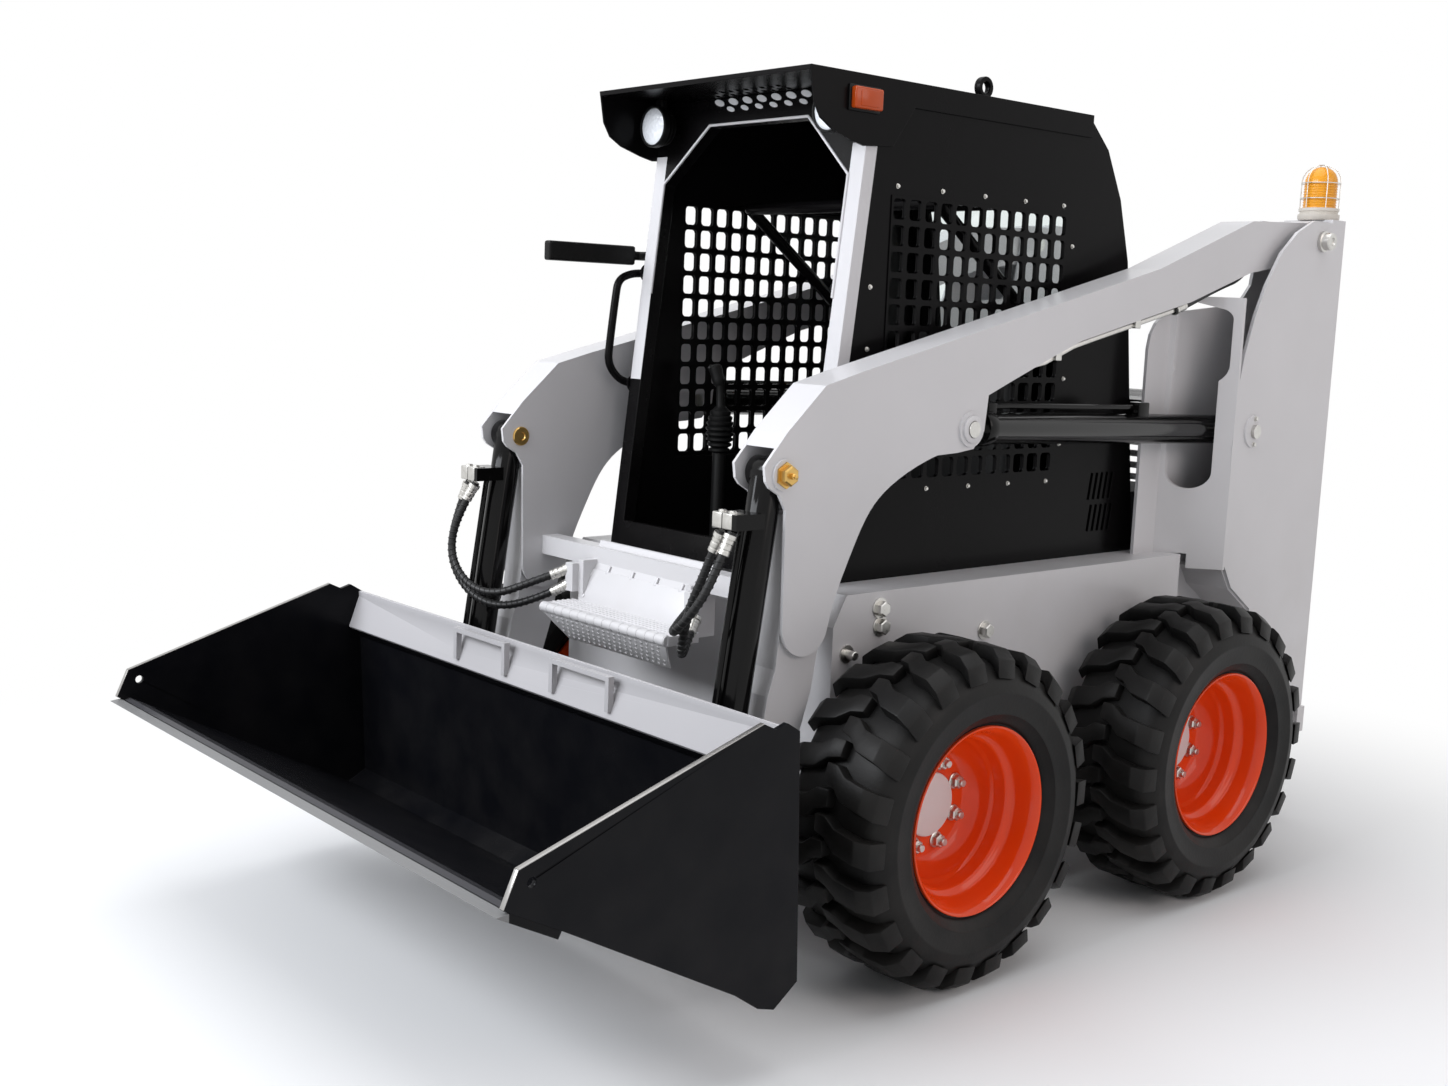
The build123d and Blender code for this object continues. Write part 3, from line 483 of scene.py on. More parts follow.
# Rear door and engine
# A folded sheet door with cooling slots hangs on two hinges behind the engine, under a slotted
# cover. The engine is a dull dark casting that only shows through the slots.
BLACK = (0.0040, 0.0037, 0.0040)
black_paint = coat("black_gloss_paint", BLACK, 0.24, 0.06, 0.01, gloss=0.07)
cast_iron = coat("engine_casting", (0.03, 0.03, 0.032), 0.55, 0.5, 0.2, gloss=0.3)
painted(grey_paint, 0.002, "rear_door")
painted(cast_iron, 0, "engine")
painted(black_paint, 0.002, "engine_cover")


def cube(name, corner, opposite):
    """Plain box between two opposite corners, left in edit mode with all of it selected."""
    bpy.ops.object.select_all(action="DESELECT")
    middle = (Vector(corner) + Vector(opposite)) / 2
    size = [abs(far - near) for near, far in zip(corner, opposite)]
    bpy.ops.mesh.primitive_cube_add(size=1, location=middle, scale=size)
    piece = bpy.context.object
    piece.name = name
    bpy.ops.object.transform_apply(location=True, rotation=True, scale=True)
    bpy.ops.object.mode_set(mode="EDIT")
    bpy.ops.mesh.select_all(action="SELECT")
    return piece


def block(name, corner, opposite, edge, segments=3):
    """Solid block between two opposite corners, with rounded edges."""
    piece = cube(name, corner, opposite)
    bpy.ops.mesh.bevel(offset=edge, segments=segments, affect="EDGES")
    bpy.ops.object.mode_set(mode="OBJECT")
    bpy.ops.object.shade_smooth_by_angle(angle=SMOOTH_ANGLE)
    return piece


DOOR_FACE = 1.872
latch = block("door_latch", aft(0.330, DOOR_FACE - 0.002, 0.800),
              aft(0.380, DOOR_FACE + 0.016, 0.880), 0.005)
dressed(latch, "rear_door", black_paint)
pull = block("door_pull", aft(0.346, DOOR_FACE + 0.014, 0.815),
             aft(0.364, DOOR_FACE + 0.030, 0.865), 0.004)
dressed(pull, "rear_door", black_paint)

# Tail lamps
# Red moulded lenses in black rubber frames, one on the back of each upright.
red_lens = coat("red_lens", (0.42, 0.008, 0.006), 0.14, 0.02, 0.0, gloss=0.4)
painted(red_lens, 0.004, "tail_lamps")
for side, sign in SIDES:
    surround = block("tail_lamp_frame_" + side, aft(sign * 0.488, DOOR_FACE, 1.173),
                     aft(sign * 0.572, DOOR_FACE + 0.010, 1.307), 0.003)
    dressed(surround, "chassis", hose_rubber)

# Axles and rims
# Deep-dish wheels pressed and rolled from steel in orange gloss, each on a black axle tube. Eight
# plated nuts hold the disc, and a light grey cap closes the hub.
WHEELS = [(end + "_" + side, sign, axle) for end, axle in (("front", 0.0), ("rear", 1.020))
          for side, sign in SIDES]
TYRE_R = 0.410
WHEEL_X = 0.724
DISC_X = 0.683
NUTS = 8
NUT_CIRCLE_R = 0.105
DISH = [(-0.041, 0.030), (-0.041, 0.128), (-0.039, 0.136), (-0.033, 0.145), (-0.020, 0.157),
        (-0.004, 0.166), (0.006, 0.1695), (0.014, 0.1715), (0.018, 0.1760), (0.024, 0.1785),
        (0.048, 0.1800), (0.054, 0.1825), (0.058, 0.1880), (0.061, 0.1950), (0.066, 0.1990),
        (0.074, 0.2010), (0.098, 0.2058), (0.110, 0.2095), (0.118, 0.2140), (0.124, 0.2188),
        (0.1270, 0.2212), (0.1280, 0.2232), (0.1276, 0.2252), (0.1262, 0.2265)]
SEAT = [(0.119, 0.2265), (0.110, 0.2195), (0.096, 0.2130), (0.080, 0.2092), (-0.119, 0.2092),
        (-0.119, 0.2265), (-0.128, 0.2265), (-0.128, 0.2010), (-0.053, 0.2010), (-0.053, 0.1250),
        (-0.076, 0.0700), (-0.076, 0.0340), (-0.100, 0.0340)]
rim_paint = coat("orange_rim_paint", (0.80, 0.060, 0.005), 0.12, 0.02, 0.03, gloss=0.30)
cap_paint = coat("hub_cap_paint", (0.66, 0.61, 0.60), 0.32, 0.06, 0.10)
painted(black_paint, 0.002, "axle_tubes")
nut = joined("wheel_nut", [
    turned_piece("nut_seat", [(0, 0.0205), (0.003, 0.0205), (0.0045, 0.0185)], 24),
    turned_piece("nut_hex", [(0.003, 0.0175), (0.017, 0.0175), (0.020, 0.0145)], 6),
    turned_piece("nut_stud", [(0.019, 0.0095), (0.030, 0.0095), (0.032, 0.0080)], 16)])
hub_cap = turned_piece("hub_cap", [(0, 0.0785), (0.012, 0.0785), (0.0142, 0.0765), (0.0148, 0.0700),
                                   (0.0150, 0.0300), (0.0150, 0.0050)], 48)
dish = turned_piece("dish", DISH + SEAT, 72, hollow=True)
for corner, sign, axle in WHEELS:
    wheel = "wheel_" + corner
    turn = turned_to((sign, 0, 0))
    middle = Matrix.Translation(aft(sign * WHEEL_X, axle, TYRE_R)) @ turn
    bowl = copied(dish, "dished_rim_" + corner, middle)
    dressed(bowl, wheel, rim_paint)
    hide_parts("rim_" + corner)
    disc = Matrix.Translation(aft(sign * DISC_X, axle, TYRE_R)) @ turn
    made = []
    for count in range(NUTS):
        angle = 2 * math.pi / NUTS * (count + 0.5)
        spot = Vector((NUT_CIRCLE_R * math.cos(angle), NUT_CIRCLE_R * math.sin(angle), 0))
        made.append(copied(nut, "nut", disc @ Matrix.Translation(spot)))
    dressed(joined("wheel_nuts_" + corner, made), wheel, plated_steel)
    dressed(copied(hub_cap, "hub_cap_" + corner, disc), wheel, cap_paint)

# Tyres
# Moulded black rubber tyres with deep slanted bars that meet past the middle of the tread and
# run down over the shoulders. The side walls carry plain raised rings.
WALL = [(0.1185, 0.2245), (0.1195, 0.2310), (0.1330, 0.2400), (0.1420, 0.2560), (0.1440, 0.2570),
        (0.1452, 0.2640), (0.1450, 0.2680), (0.1490, 0.2850), (0.1512, 0.3040), (0.1518, 0.3060),
        (0.1518, 0.3100), (0.1510, 0.3120), (0.1490, 0.3260), (0.1430, 0.3390), (0.1300, 0.3570),
        (0.1180, 0.3660), (0.0920, 0.3745), (0.0450, 0.3785)]
TREAD_R = 0.3795
BAR_LOW, BAR_HIGH = -0.014, 0.136
BAR_HALF = 0.028
BAR_DEEP = 0.034
BAR_CUTS = (0.020, 0.050, 0.108)
BAR_TOP = math.sqrt(TYRE_R ** 2 - 0.048 ** 2)
BARS = 22
rubber = coat("tyre_rubber", (0.0056, 0.0054, 0.0054), 0.46, 0.35, 0.03, gloss=0.16)
tread_walls = [(-height, radius) for height, radius in WALL] + [(0, TREAD_R)] + list(reversed(WALL))
carcass = turned_piece("carcass", tread_walls, 72, facing=(1, 0, 0), hollow=True)


def unselected(mesh):
    for item in (*mesh.vertices, *mesh.edges, *mesh.polygons):
        item.select = False


def moved(test, shift, narrow=1.0):
    """Moves the active piece's points that pass a test, and narrows them along Y."""
    bpy.ops.object.mode_set(mode="OBJECT")
    mesh = bpy.context.object.data
    unselected(mesh)
    for point in mesh.vertices:
        point.select = test(point.co)
    bpy.ops.object.mode_set(mode="EDIT")
    bpy.ops.mesh.select_mode(type="VERT")
    if narrow != 1.0:
        bpy.ops.transform.resize(value=(1, narrow, 1))
    bpy.ops.transform.translate(value=shift)


bar = cube("tread_bar", (BAR_LOW, -BAR_HALF, BAR_TOP - BAR_DEEP), (BAR_HIGH, BAR_HALF, BAR_TOP))
for cut in BAR_CUTS:
    bpy.ops.mesh.select_all(action="SELECT")
    bpy.ops.mesh.bisect(plane_co=(cut, 0, 0), plane_no=(1, 0, 0))
moved(lambda p: p.x < 0.0, (0, 0.026, -0.003), 0.72)
moved(lambda p: 0.01 < p.x < 0.03, (0, 0.021, 0), 0.88)
moved(lambda p: 0.04 < p.x < 0.06, (0, -0.003, 0), 0.96)
moved(lambda p: 0.10 < p.x < 0.12, (0, -0.014, -0.002))
moved(lambda p: p.x > 0.13 and p.z > 0.39, (0.003, -0.021, -0.024), 1.10)
moved(lambda p: p.x > 0.13 and p.z < 0.375, (0.012, -0.021, -0.034), 1.10)
bpy.ops.mesh.select_all(action="SELECT")
bpy.ops.mesh.bevel(offset=0.0035, segments=2, affect="EDGES")
bpy.ops.mesh.normals_make_consistent(inside=False)
bpy.ops.object.mode_set(mode="OBJECT")
bpy.ops.object.shade_smooth_by_angle(angle=SMOOTH_ANGLE)
first = math.pi + math.asin(0.046 / TYRE_R)
bars = []
for count in range(BARS):
    for row, flip in ((0, 1), (0.5, -1)):
        turn = Matrix.Rotation(first + 2 * math.pi / BARS * (count + row), 4, "X")
        bars.append(copied(bar, "bar", turn @ Matrix.Scale(flip, 4, (1, 0, 0))))
tyre = joined("tyre_pattern", [carcass] + bars)
for corner, sign, axle in WHEELS:
    place = Matrix.Translation(aft(sign * WHEEL_X, axle, TYRE_R))
    cover = copied(tyre, "lugged_tyre_" + corner, place @ Matrix.Scale(sign, 4, (1, 0, 0)))
    dressed(cover, "wheel_" + corner, rubber)
    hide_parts("tyre_" + corner)
for pattern in (tyre, bar, nut, hub_cap, dish):
    bpy.data.objects.remove(pattern)

# Cab shell
# A welded cab: light grey front pillars, black sides and back of sheet steel, a black roof with a
# visor, and a black header over the door. The door opening has a light grey edge bead.
HEADER_Z = 1.970
FOOT_Z = 1.365
DOOR_EDGE_X = 0.3545
CAB_RAKE = math.radians(6.62)
DOOR_BEAD = ((0.353, 1.600), (0.353, 1.896), (0.188, 2.044),
             (-0.188, 2.044), (-0.353, 1.896), (-0.353, 1.600))
BLADE = [(0, 0.010), (0.0014, 0.010), (0.0020, 0.0094)]
BLADE_R = 0.010
BLADE_STEP = 0.055


def zoned(name, base, zones, roughness, peel, dust, gloss):
    """Sprayed finish in base, and in each zone's colour where a place passes all the zone's tests."""
    made = coat(name, base, roughness, peel, dust, gloss)
    tree = made.node_tree
    layer = next(node for node in tree.nodes if node.type == "GROUP")
    split = tree.nodes.new("ShaderNodeSeparateXYZ")
    tree.links.new(on_object(tree), split.inputs["Vector"])
    under = None
    for colour, tests in zones:
        inside = None
        for axis, side, limit in tests:
            test = tree.nodes.new("ShaderNodeMath")
            test.operation = side
            test.inputs[1].default_value = limit
            tree.links.new(split.outputs[axis], test.inputs[0])
            passed = test.outputs[0]
            inside = passed if inside is None else worked_out(tree, "MULTIPLY", inside, passed)
        choice = tree.nodes.new("ShaderNodeMix")
        choice.data_type = "RGBA"
        set_inputs(choice, {"A": (*base, 1), "B": (*colour, 1)})
        tree.links.new(inside, choice.inputs["Factor"])
        if under is not None:
            tree.links.new(under, choice.inputs["A"])
        under = choice.outputs["Result"]
    tree.links.new(under, layer.inputs["Colour"])
    return made


def raked(z):
    """How far back the cab's front face is at a height."""
    return -0.150 + (z - 0.905) * math.tan(CAB_RAKE)


pillar_paint = zoned("pillar_paint", GREY,
                     [(BLACK, [("Z", "GREATER_THAN", HEADER_Z)]),
                      (BLACK, [("Z", "LESS_THAN", FOOT_Z)]),
                      (BLACK, [("X", "LESS_THAN", DOOR_EDGE_X), ("X", "GREATER_THAN", -DOOR_EDGE_X)])],
                     0.26, 0.05, 0.05, 0.12)
painted(pillar_paint, 0.002, "cab_front")
painted(black_paint, 0.0015, "cab_side_left", "cab_side_right")
painted(black_paint, 0.003, "cab_rear", "cab_roof", "cab_floor", "lifting_eyes")
edge_bead = pipe("door_edge_bead", [aft(x, raked(z) - 0.001, z) for x, z in DOOR_BEAD], 0.004)
dressed(edge_bead, "chassis", grey_paint)
# The vent blades are painted much paler than real paint, as painted light: they stand in for the bright
# light that shows through the roof's vent slots over the header, which lies in the visor's shade.
blade_painted_light = coat("vent_blade_white", (0.88, 0.89, 0.90), 0.30, 0.03, 0.0)
lean = Matrix.Rotation(-CAB_RAKE, 4, "X") @ Matrix.Rotation(math.radians(16), 4, "Y")
blades = []
for z, count, start, half, high in ((2.101, 7, -0.160, 0.020, 0.0080), (2.082, 6, -0.112, 0.016, 0.0060)):
    for step in range(count):
        blade = turned_piece("header_blade", BLADE, 24, facing=(0, -1, 0))
        blade.data.transform(Matrix.Diagonal((half / BLADE_R, 1, high / BLADE_R, 1)))
        place = aft(start + BLADE_STEP * step, raked(z) - 0.0002, z)
        blade.data.transform(Matrix.Translation(place) @ lean)
        blades.append(blade)
dressed(joined("header_vent_blades", blades), "chassis", blade_painted_light)

# Window mesh
# Punched sheet screens over the side windows, black, one on each face of the wall. The holes have
# rounded corners, and plated screws stand around the edge.
SCREEN_LONG, SCREEN_HIGH = 0.696, 0.704
HOLES_ALONG, HOLES_UP = 12, 11
HOLE_RIB = 0.0068
HOLE_CORNER = 0.010
HOLE_AREA = 0.0015
SCREW_X = 0.400
bpy.ops.object.select_all(action="DESELECT")
bpy.ops.mesh.primitive_grid_add(x_subdivisions=HOLES_ALONG, y_subdivisions=HOLES_UP, size=1)
screen = bpy.context.object
screen.name = "screen_pattern"
screen.scale = (SCREEN_LONG, SCREEN_HIGH, 1)
bpy.ops.object.transform_apply(location=True, rotation=True, scale=True)
bpy.ops.object.mode_set(mode="EDIT")
bpy.ops.mesh.select_mode(type="FACE")
bpy.ops.mesh.select_all(action="SELECT")
bpy.ops.mesh.inset(thickness=HOLE_RIB, depth=0, use_individual=True)
bpy.ops.mesh.bevel(offset=HOLE_CORNER, segments=3, affect="VERTICES")
bpy.ops.object.mode_set(mode="OBJECT")
unselected(screen.data)
for face in screen.data.polygons:
    face.select = face.area > HOLE_AREA
bpy.ops.object.mode_set(mode="EDIT")
bpy.ops.mesh.delete(type="FACE")
bpy.ops.object.mode_set(mode="OBJECT")
sheet = screen.modifiers.new("sheet", "SOLIDIFY")
sheet.thickness = 0.003
sheet.offset = 0
bpy.ops.object.modifier_apply(modifier="sheet")
upright_screen = Matrix(((0, 0, 1, 0), (1, 0, 0, 0.417 + AXLE), (0, 1, 0, 1.502), (0, 0, 0, 1)))
for side, sign in SIDES:
    for wall, x in (("outer", 0.4015), ("inner", 0.3925)):
        place = Matrix.Translation((sign * x, 0, 0)) @ upright_screen
        panel = copied(screen, "screen_" + wall + "_" + side, place)
        dressed(panel, "chassis", black_paint)
    spots = [aft(sign * SCREW_X, 0.090 + count * 0.164, z) for count in range(5) for z in (1.128, 1.876)]
    for count in range(4):
        spots.append(aft(sign * SCREW_X, 0.795, 1.230 + count * 0.180))
        spots.append(aft(sign * SCREW_X, 0.010, 1.180 + count * 0.150))
    bolts("screen_screws_" + side, spots, (sign, 0, 0), "chassis", 0.42)
for pattern in (screen, bolt_pattern):
    bpy.data.objects.remove(pattern)

# Rear window
# A flat pane of safety glass set in the back wall behind the seat, a little smeared.
window_glass, glass_tree, glass_skin = new_finish("window_glass")
set_inputs(glass_skin, {"Base Color": (0.86, 0.92, 0.91, 1), "Transmission Weight": 1.0, "IOR": 1.45})
glass_rough = ranged(glass_tree, clouds(glass_tree, 5), 0.0, 1.0, 0.01, 0.07)
glass_tree.links.new(glass_rough, glass_skin.inputs["Roughness"])
painted(window_glass, 0, "rear_window")

# Seat
# A low operator's seat: two foam pads under black vinyl, each with a sewn welt around its crown.
CROWN = 0.016
PAD_RINGS = ((0.020, 0.0), (0.004, -0.006), (0.004, 0.006), (0.030, CROWN * 0.6), (0.050, CROWN * 0.4))
vinyl = coat("seat_vinyl", (0.008, 0.008, 0.008), 0.44, 0.6, 0.02, gloss=0.15)


def pad(name, corner, opposite, face):
    """Crowned foam pad whose padded face has a welt seam."""
    piece = cube(name, corner, opposite)
    bpy.ops.mesh.subdivide(number_cuts=3)
    bpy.ops.object.mode_set(mode="OBJECT")
    unselected(piece.data)
    for side in piece.data.polygons:
        side.select = side.normal.dot(face) > 0.9
    bpy.ops.object.mode_set(mode="EDIT")
    bpy.ops.mesh.select_mode(type="FACE")
    for inward, rise in PAD_RINGS:
        bpy.ops.mesh.inset(thickness=inward, depth=rise)
    bpy.ops.object.mode_set(mode="OBJECT")
    smooth = piece.modifiers.new("smooth", "SUBSURF")
    smooth.levels = 2
    smooth.render_levels = 2
    bpy.ops.object.modifier_apply(modifier="smooth")
    bpy.ops.object.shade_smooth()
    dressed(piece, "chassis", vinyl)
    return piece


cushion = pad("seat_cushion", aft(-0.225, 0.350, 0.917), aft(0.225, 0.795, 1.020), Vector((0, 0, 1)))
backrest = pad("seat_back", aft(-0.215, 0.825, 0.925), aft(0.215, 0.897, 1.530), Vector((0, -1, 0)))
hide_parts("seat")

# Control levers
# Two steering levers, each on a tube post: a folded rubber boot, a steel stalk and a black
# moulded grip with a thumb knob, leaning inwards.
LEVER_X, LEVER_Y = 0.250, 0.110
POST = [(0, 0.024), (0.010, 0.024), (0.012, 0.019), (0.560, 0.019), (0.570, 0.017)]
STALK = [(0, 0.0135), (0.040, 0.0115), (0.076, 0.0115), (0.080, 0.014)]
GRIP = [(0, 0.012), (0.006, 0.0165), (0.020, 0.0180), (0.032, 0.0170), (0.044, 0.0190), (0.054, 0.0190),
        (0.060, 0.0130), (0.062, 0.0060)]
KNOB = [(0, 0.009), (0.012, 0.010), (0.017, 0.009), (0.019, 0.005)]
FOLDS = 8
FOLD_RISE = 0.0150
moulding = coat("black_moulding", (0.007, 0.007, 0.007), 0.40, 0.3, 0.02, gloss=0.14)
boot_steps = [(0, 0.020), (0.003, 0.026)]
for count in range(FOLDS):
    wide = 0.027 + 0.013 * math.sin(math.pi * (count + 0.5) / FOLDS)
    foot = 0.004 + FOLD_RISE * count
    boot_steps += [(foot + 0.002, wide), (foot + 0.008, wide), (foot + 0.011, wide - 0.006)]
boot_steps.append((0.129, 0.016))
for side, sign in SIDES:
    x = sign * LEVER_X
    lever = joined("lever_" + side, [
        turned_piece("post_" + side, POST, 28, aft(x, LEVER_Y, 0.612)),
        turned_piece("boot_" + side, boot_steps, 28, aft(x, LEVER_Y, 1.165)),
        turned_piece("stalk_" + side, STALK, 20, aft(x, LEVER_Y, 1.290), (-0.10, 0, 1)),
        turned_piece("grip_" + side, GRIP, 24, aft(x - 0.007, LEVER_Y, 1.352), (-0.32, -0.12, 1)),
        turned_piece("knob_" + side, KNOB, 16, aft(x - 0.020, LEVER_Y - 0.010, 1.398), (-1, -0.5, 0.2))])
    dressed(lever, "chassis", moulding)
    if side == "left":
        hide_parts("control_levers")

# Cab rails and mirror
# A bent tube seat bar, a bent tube grab handle on two round feet and a slim mirror on a bracket,
# all black.
HANDLE_X = -0.432
HANDLE_WALL_X = -0.400
HANDLE_TOP_Z, HANDLE_LOW_Z = 1.655, 1.350
HANDLE_FOOT = [(0, 0.026), (0.006, 0.026), (0.009, 0.020), (0.010, 0.012)]
painted(black_paint, 0, "seat_bar")
painted(moulding, 0.006, "mirror")
top_y, low_y = raked(HANDLE_TOP_Z), raked(HANDLE_LOW_Z)
handle_line = [(HANDLE_WALL_X, top_y + 0.020, HANDLE_TOP_Z), (-0.424, top_y + 0.016, HANDLE_TOP_Z),
               (HANDLE_X, top_y - 0.020, 1.652), (HANDLE_X, -0.124, 1.634), (HANDLE_X, -0.132, 1.585),
               (HANDLE_X, -0.148, 1.456), (HANDLE_X, -0.152, 1.405), (HANDLE_X, low_y - 0.020, 1.364),
               (-0.424, low_y + 0.016, HANDLE_LOW_Z), (HANDLE_WALL_X, low_y + 0.020, HANDLE_LOW_Z)]
handle = pipe("bent_grab_handle", [aft(*point) for point in handle_line], 0.011, 16, smooth=True)
dressed(handle, "chassis", black_paint)
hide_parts("grab_handle")
for z in (HANDLE_TOP_Z, HANDLE_LOW_Z):
    foot = turned_piece("handle_foot_" + str(round(z * 1000)), HANDLE_FOOT, 24,
                        aft(HANDLE_WALL_X, raked(z) + 0.020, z), (-1, 0, 0))
    dressed(foot, "chassis", black_paint)

# Work lamps
# Round lamps under the visor: a black finned shell, a pressed bezel and a moulded clear lens.
LAMP_X = 0.335
LAMP_SHELL = [(0, 0.030), (0.004, 0.034), (0.012, 0.036), (0.013, 0.046), (0.018, 0.046), (0.019, 0.038),
              (0.026, 0.040), (0.027, 0.050), (0.032, 0.050), (0.033, 0.044), (0.040, 0.048),
              (0.042, 0.0548), (0.058, 0.0548), (0.060, 0.0530), (0.060, 0.0490), (0.054, 0.0480)]
LAMP_LENS = [(0, 0.0485), (0.002, 0.0480), (0.005, 0.0400), (0.007, 0.0250), (0.008, 0.0060)]
clear_lens = coat("clear_lens", (0.74, 0.76, 0.79), 0.10, 0.0, 0.0, gloss=0.7)
lens_tree = clear_lens.node_tree
lens_cells = lens_tree.nodes.new("ShaderNodeTexVoronoi")
lens_cells.inputs["Scale"].default_value = 95
lens_tree.links.new(on_object(lens_tree), lens_cells.inputs["Vector"])
lens_normal = lens_tree.nodes["Principled BSDF"].inputs["Normal"]
bumped(lens_tree, lens_cells.outputs["Distance"], 0.5, 0.004, lens_normal)
for side, sign in SIDES:
    x = sign * LAMP_X
    shell = turned_piece("lamp_shell_" + side, LAMP_SHELL, 48, aft(x, -0.038, 2.043), (0, -1, 0))
    hanger = block("lamp_hanger_" + side, aft(x - 0.014, -0.077, 2.080),
                   aft(x + 0.014, -0.059, 2.113), 0.003)
    housing = joined("work_lamp_" + side, [shell, hanger])
    dressed(housing, "chassis", moulding)
    lens = turned_piece("work_lamp_lens_" + side, LAMP_LENS, 48, aft(x, -0.0915, 2.043), (0, -1, 0))
    dressed(lens, "chassis", clear_lens)
    if side == "left":
        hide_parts("work_lamps")

# Marker lamps
# Amber turn lamps on the visor's cheeks: a ribbed moulded lens in a black base.
amber_lens = coat("amber_lens", (0.46, 0.060, 0.006), 0.16, 0.02, 0.0, gloss=0.3)
for side, sign in SIDES:
    base = block("marker_base_" + side, aft(sign * 0.406, -0.101, 2.036),
                 aft(sign * 0.412, 0.003, 2.096), 0.002)
    dressed(base, "chassis", moulding)
    lens = joined("marker_lens_" + side, [
        block("marker_lens", aft(sign * 0.410, -0.096, 2.041), aft(sign * 0.428, -0.002, 2.091), 0.005),
        block("marker_rib", aft(sign * 0.426, -0.080, 2.047), aft(sign * 0.4305, -0.018, 2.085), 0.002)])
    dressed(lens, "chassis", amber_lens)
    if side == "left":
        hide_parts("marker_lamps")

# Beacon
# An amber warning beacon on the left upright: a moulded base, a ribbed dome and a wire guard.
BEACON_FOOT = [(0, 0.058), (0.006, 0.0615), (0.018, 0.0615), (0.020, 0.056), (0.026, 0.056),
               (0.028, 0.0595), (0.036, 0.0595), (0.038, 0.050)]
DOME_R = 0.0490
DOME_RIBS = 9
DOME_RIB = 0.008
DOME_CROWN = [(0.090, 0.0470), (0.105, 0.0410), (0.116, 0.0310), (0.124, 0.0170), (0.126, 0.0050)]
GUARD_R = 0.0575
WIRE_R = 0.0016
GUARD_ARCH = ((GUARD_R, 0.030), (GUARD_R, 0.118), (0.055, 0.132), (0.046, 0.148), (0.032, 0.160),
              (0.014, 0.167), (0.0, 0.168))
beacon_grey = coat("beacon_base", (0.62, 0.58, 0.52), 0.40, 0.2, 0.05)
beacon_amber = coat("beacon_lens", (0.80, 0.34, 0.02), 0.16, 0.02, 0.0, gloss=0.3)
centre = aft(0.540, 1.832, 1.905)
foot = turned_piece("beacon_foot", BEACON_FOOT, 48, centre)
dressed(foot, "chassis", beacon_grey)
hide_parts("beacon_base")
dome_steps = [(0, DOME_R)]
for count in range(DOME_RIBS):
    rib = count * DOME_RIB
    dome_steps += [(0.004 + rib, DOME_R), (0.007 + rib, DOME_R - 0.0016), (0.010 + rib, DOME_R)]
dome = turned_piece("beacon_dome", dome_steps + DOME_CROWN, 48, centre + Vector((0, 0, 0.036)))
dressed(dome, "chassis", beacon_amber)
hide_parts("beacon_lens")


def guard_point(angle, radius, height):
    return centre + Vector((radius * math.cos(angle), radius * math.sin(angle), height))


wires = []
for count in range(6):
    angle = math.pi / 3 * count + 0.3
    arch = [guard_point(angle, radius, height) for radius, height in GUARD_ARCH]
    wires.append(pipe("guard_wire", arch, WIRE_R, 8))
for height in (0.066, 0.112):
    ring = [guard_point(math.pi / 24 * step, GUARD_R, height) for step in range(49)]
    wires.append(pipe("guard_ring", ring, WIRE_R, 8))
dressed(joined("beacon_guard", wires), "chassis", plated_steel)

# Loader arms
# Two box arms of welded plate in the frame's grey, with a step beam between their feet. Steel
# pins carry them, and a steel oil pipe that ends in a hose is clipped under each arm.
TILT_Y, TILT_Z = -0.412, 1.205
ARM_FACE_X, ARM_INNER_X, OIL_X = 0.580, 0.466, 0.545
PIN_PLUG = [(0, 0.0300), (0.004, 0.0300), (0.0042, 0.0235), (0.018, 0.0235), (0.021, 0.0195)]
NIPPLE = [(0, 0.007), (0.008, 0.007), (0.009, 0.0045), (0.014, 0.0045), (0.015, 0.0055), (0.017, 0.0030)]
PIN_CAP = [(0, 0.0255), (0.003, 0.0255), (0.005, 0.023), (0.005, 0.012), (0.002, 0.010), (0.002, 0.004)]
COLLAR = [(0, 0.034), (0.005, 0.034), (0.007, 0.031), (0.007, 0.0215), (0, 0.0215)]
OIL_RUN = ((0.470, 1.470), (0.480, 1.452), (0.516, 1.459), (0.632, 1.502), (0.700, 1.519), (1.060, 1.604),
           (1.090, 1.612))
REAR_RUN = ((1.080, 1.6095), (1.130, 1.624), (1.220, 1.657), (1.320, 1.690), (1.400, 1.712), (1.440, 1.745))
OIL_CLIPS = ((0.560, 1.4755), (0.900, 1.5665))
painted(grey_paint, 0.003, "arm_left", "arm_right", "arm_crossmember")
painted(plated_steel, 0.001, "arm_pins")
brass = coat("pin_brass", (0.62, 0.40, 0.13), 0.30, 0.05, 0.0, metal=1.0)
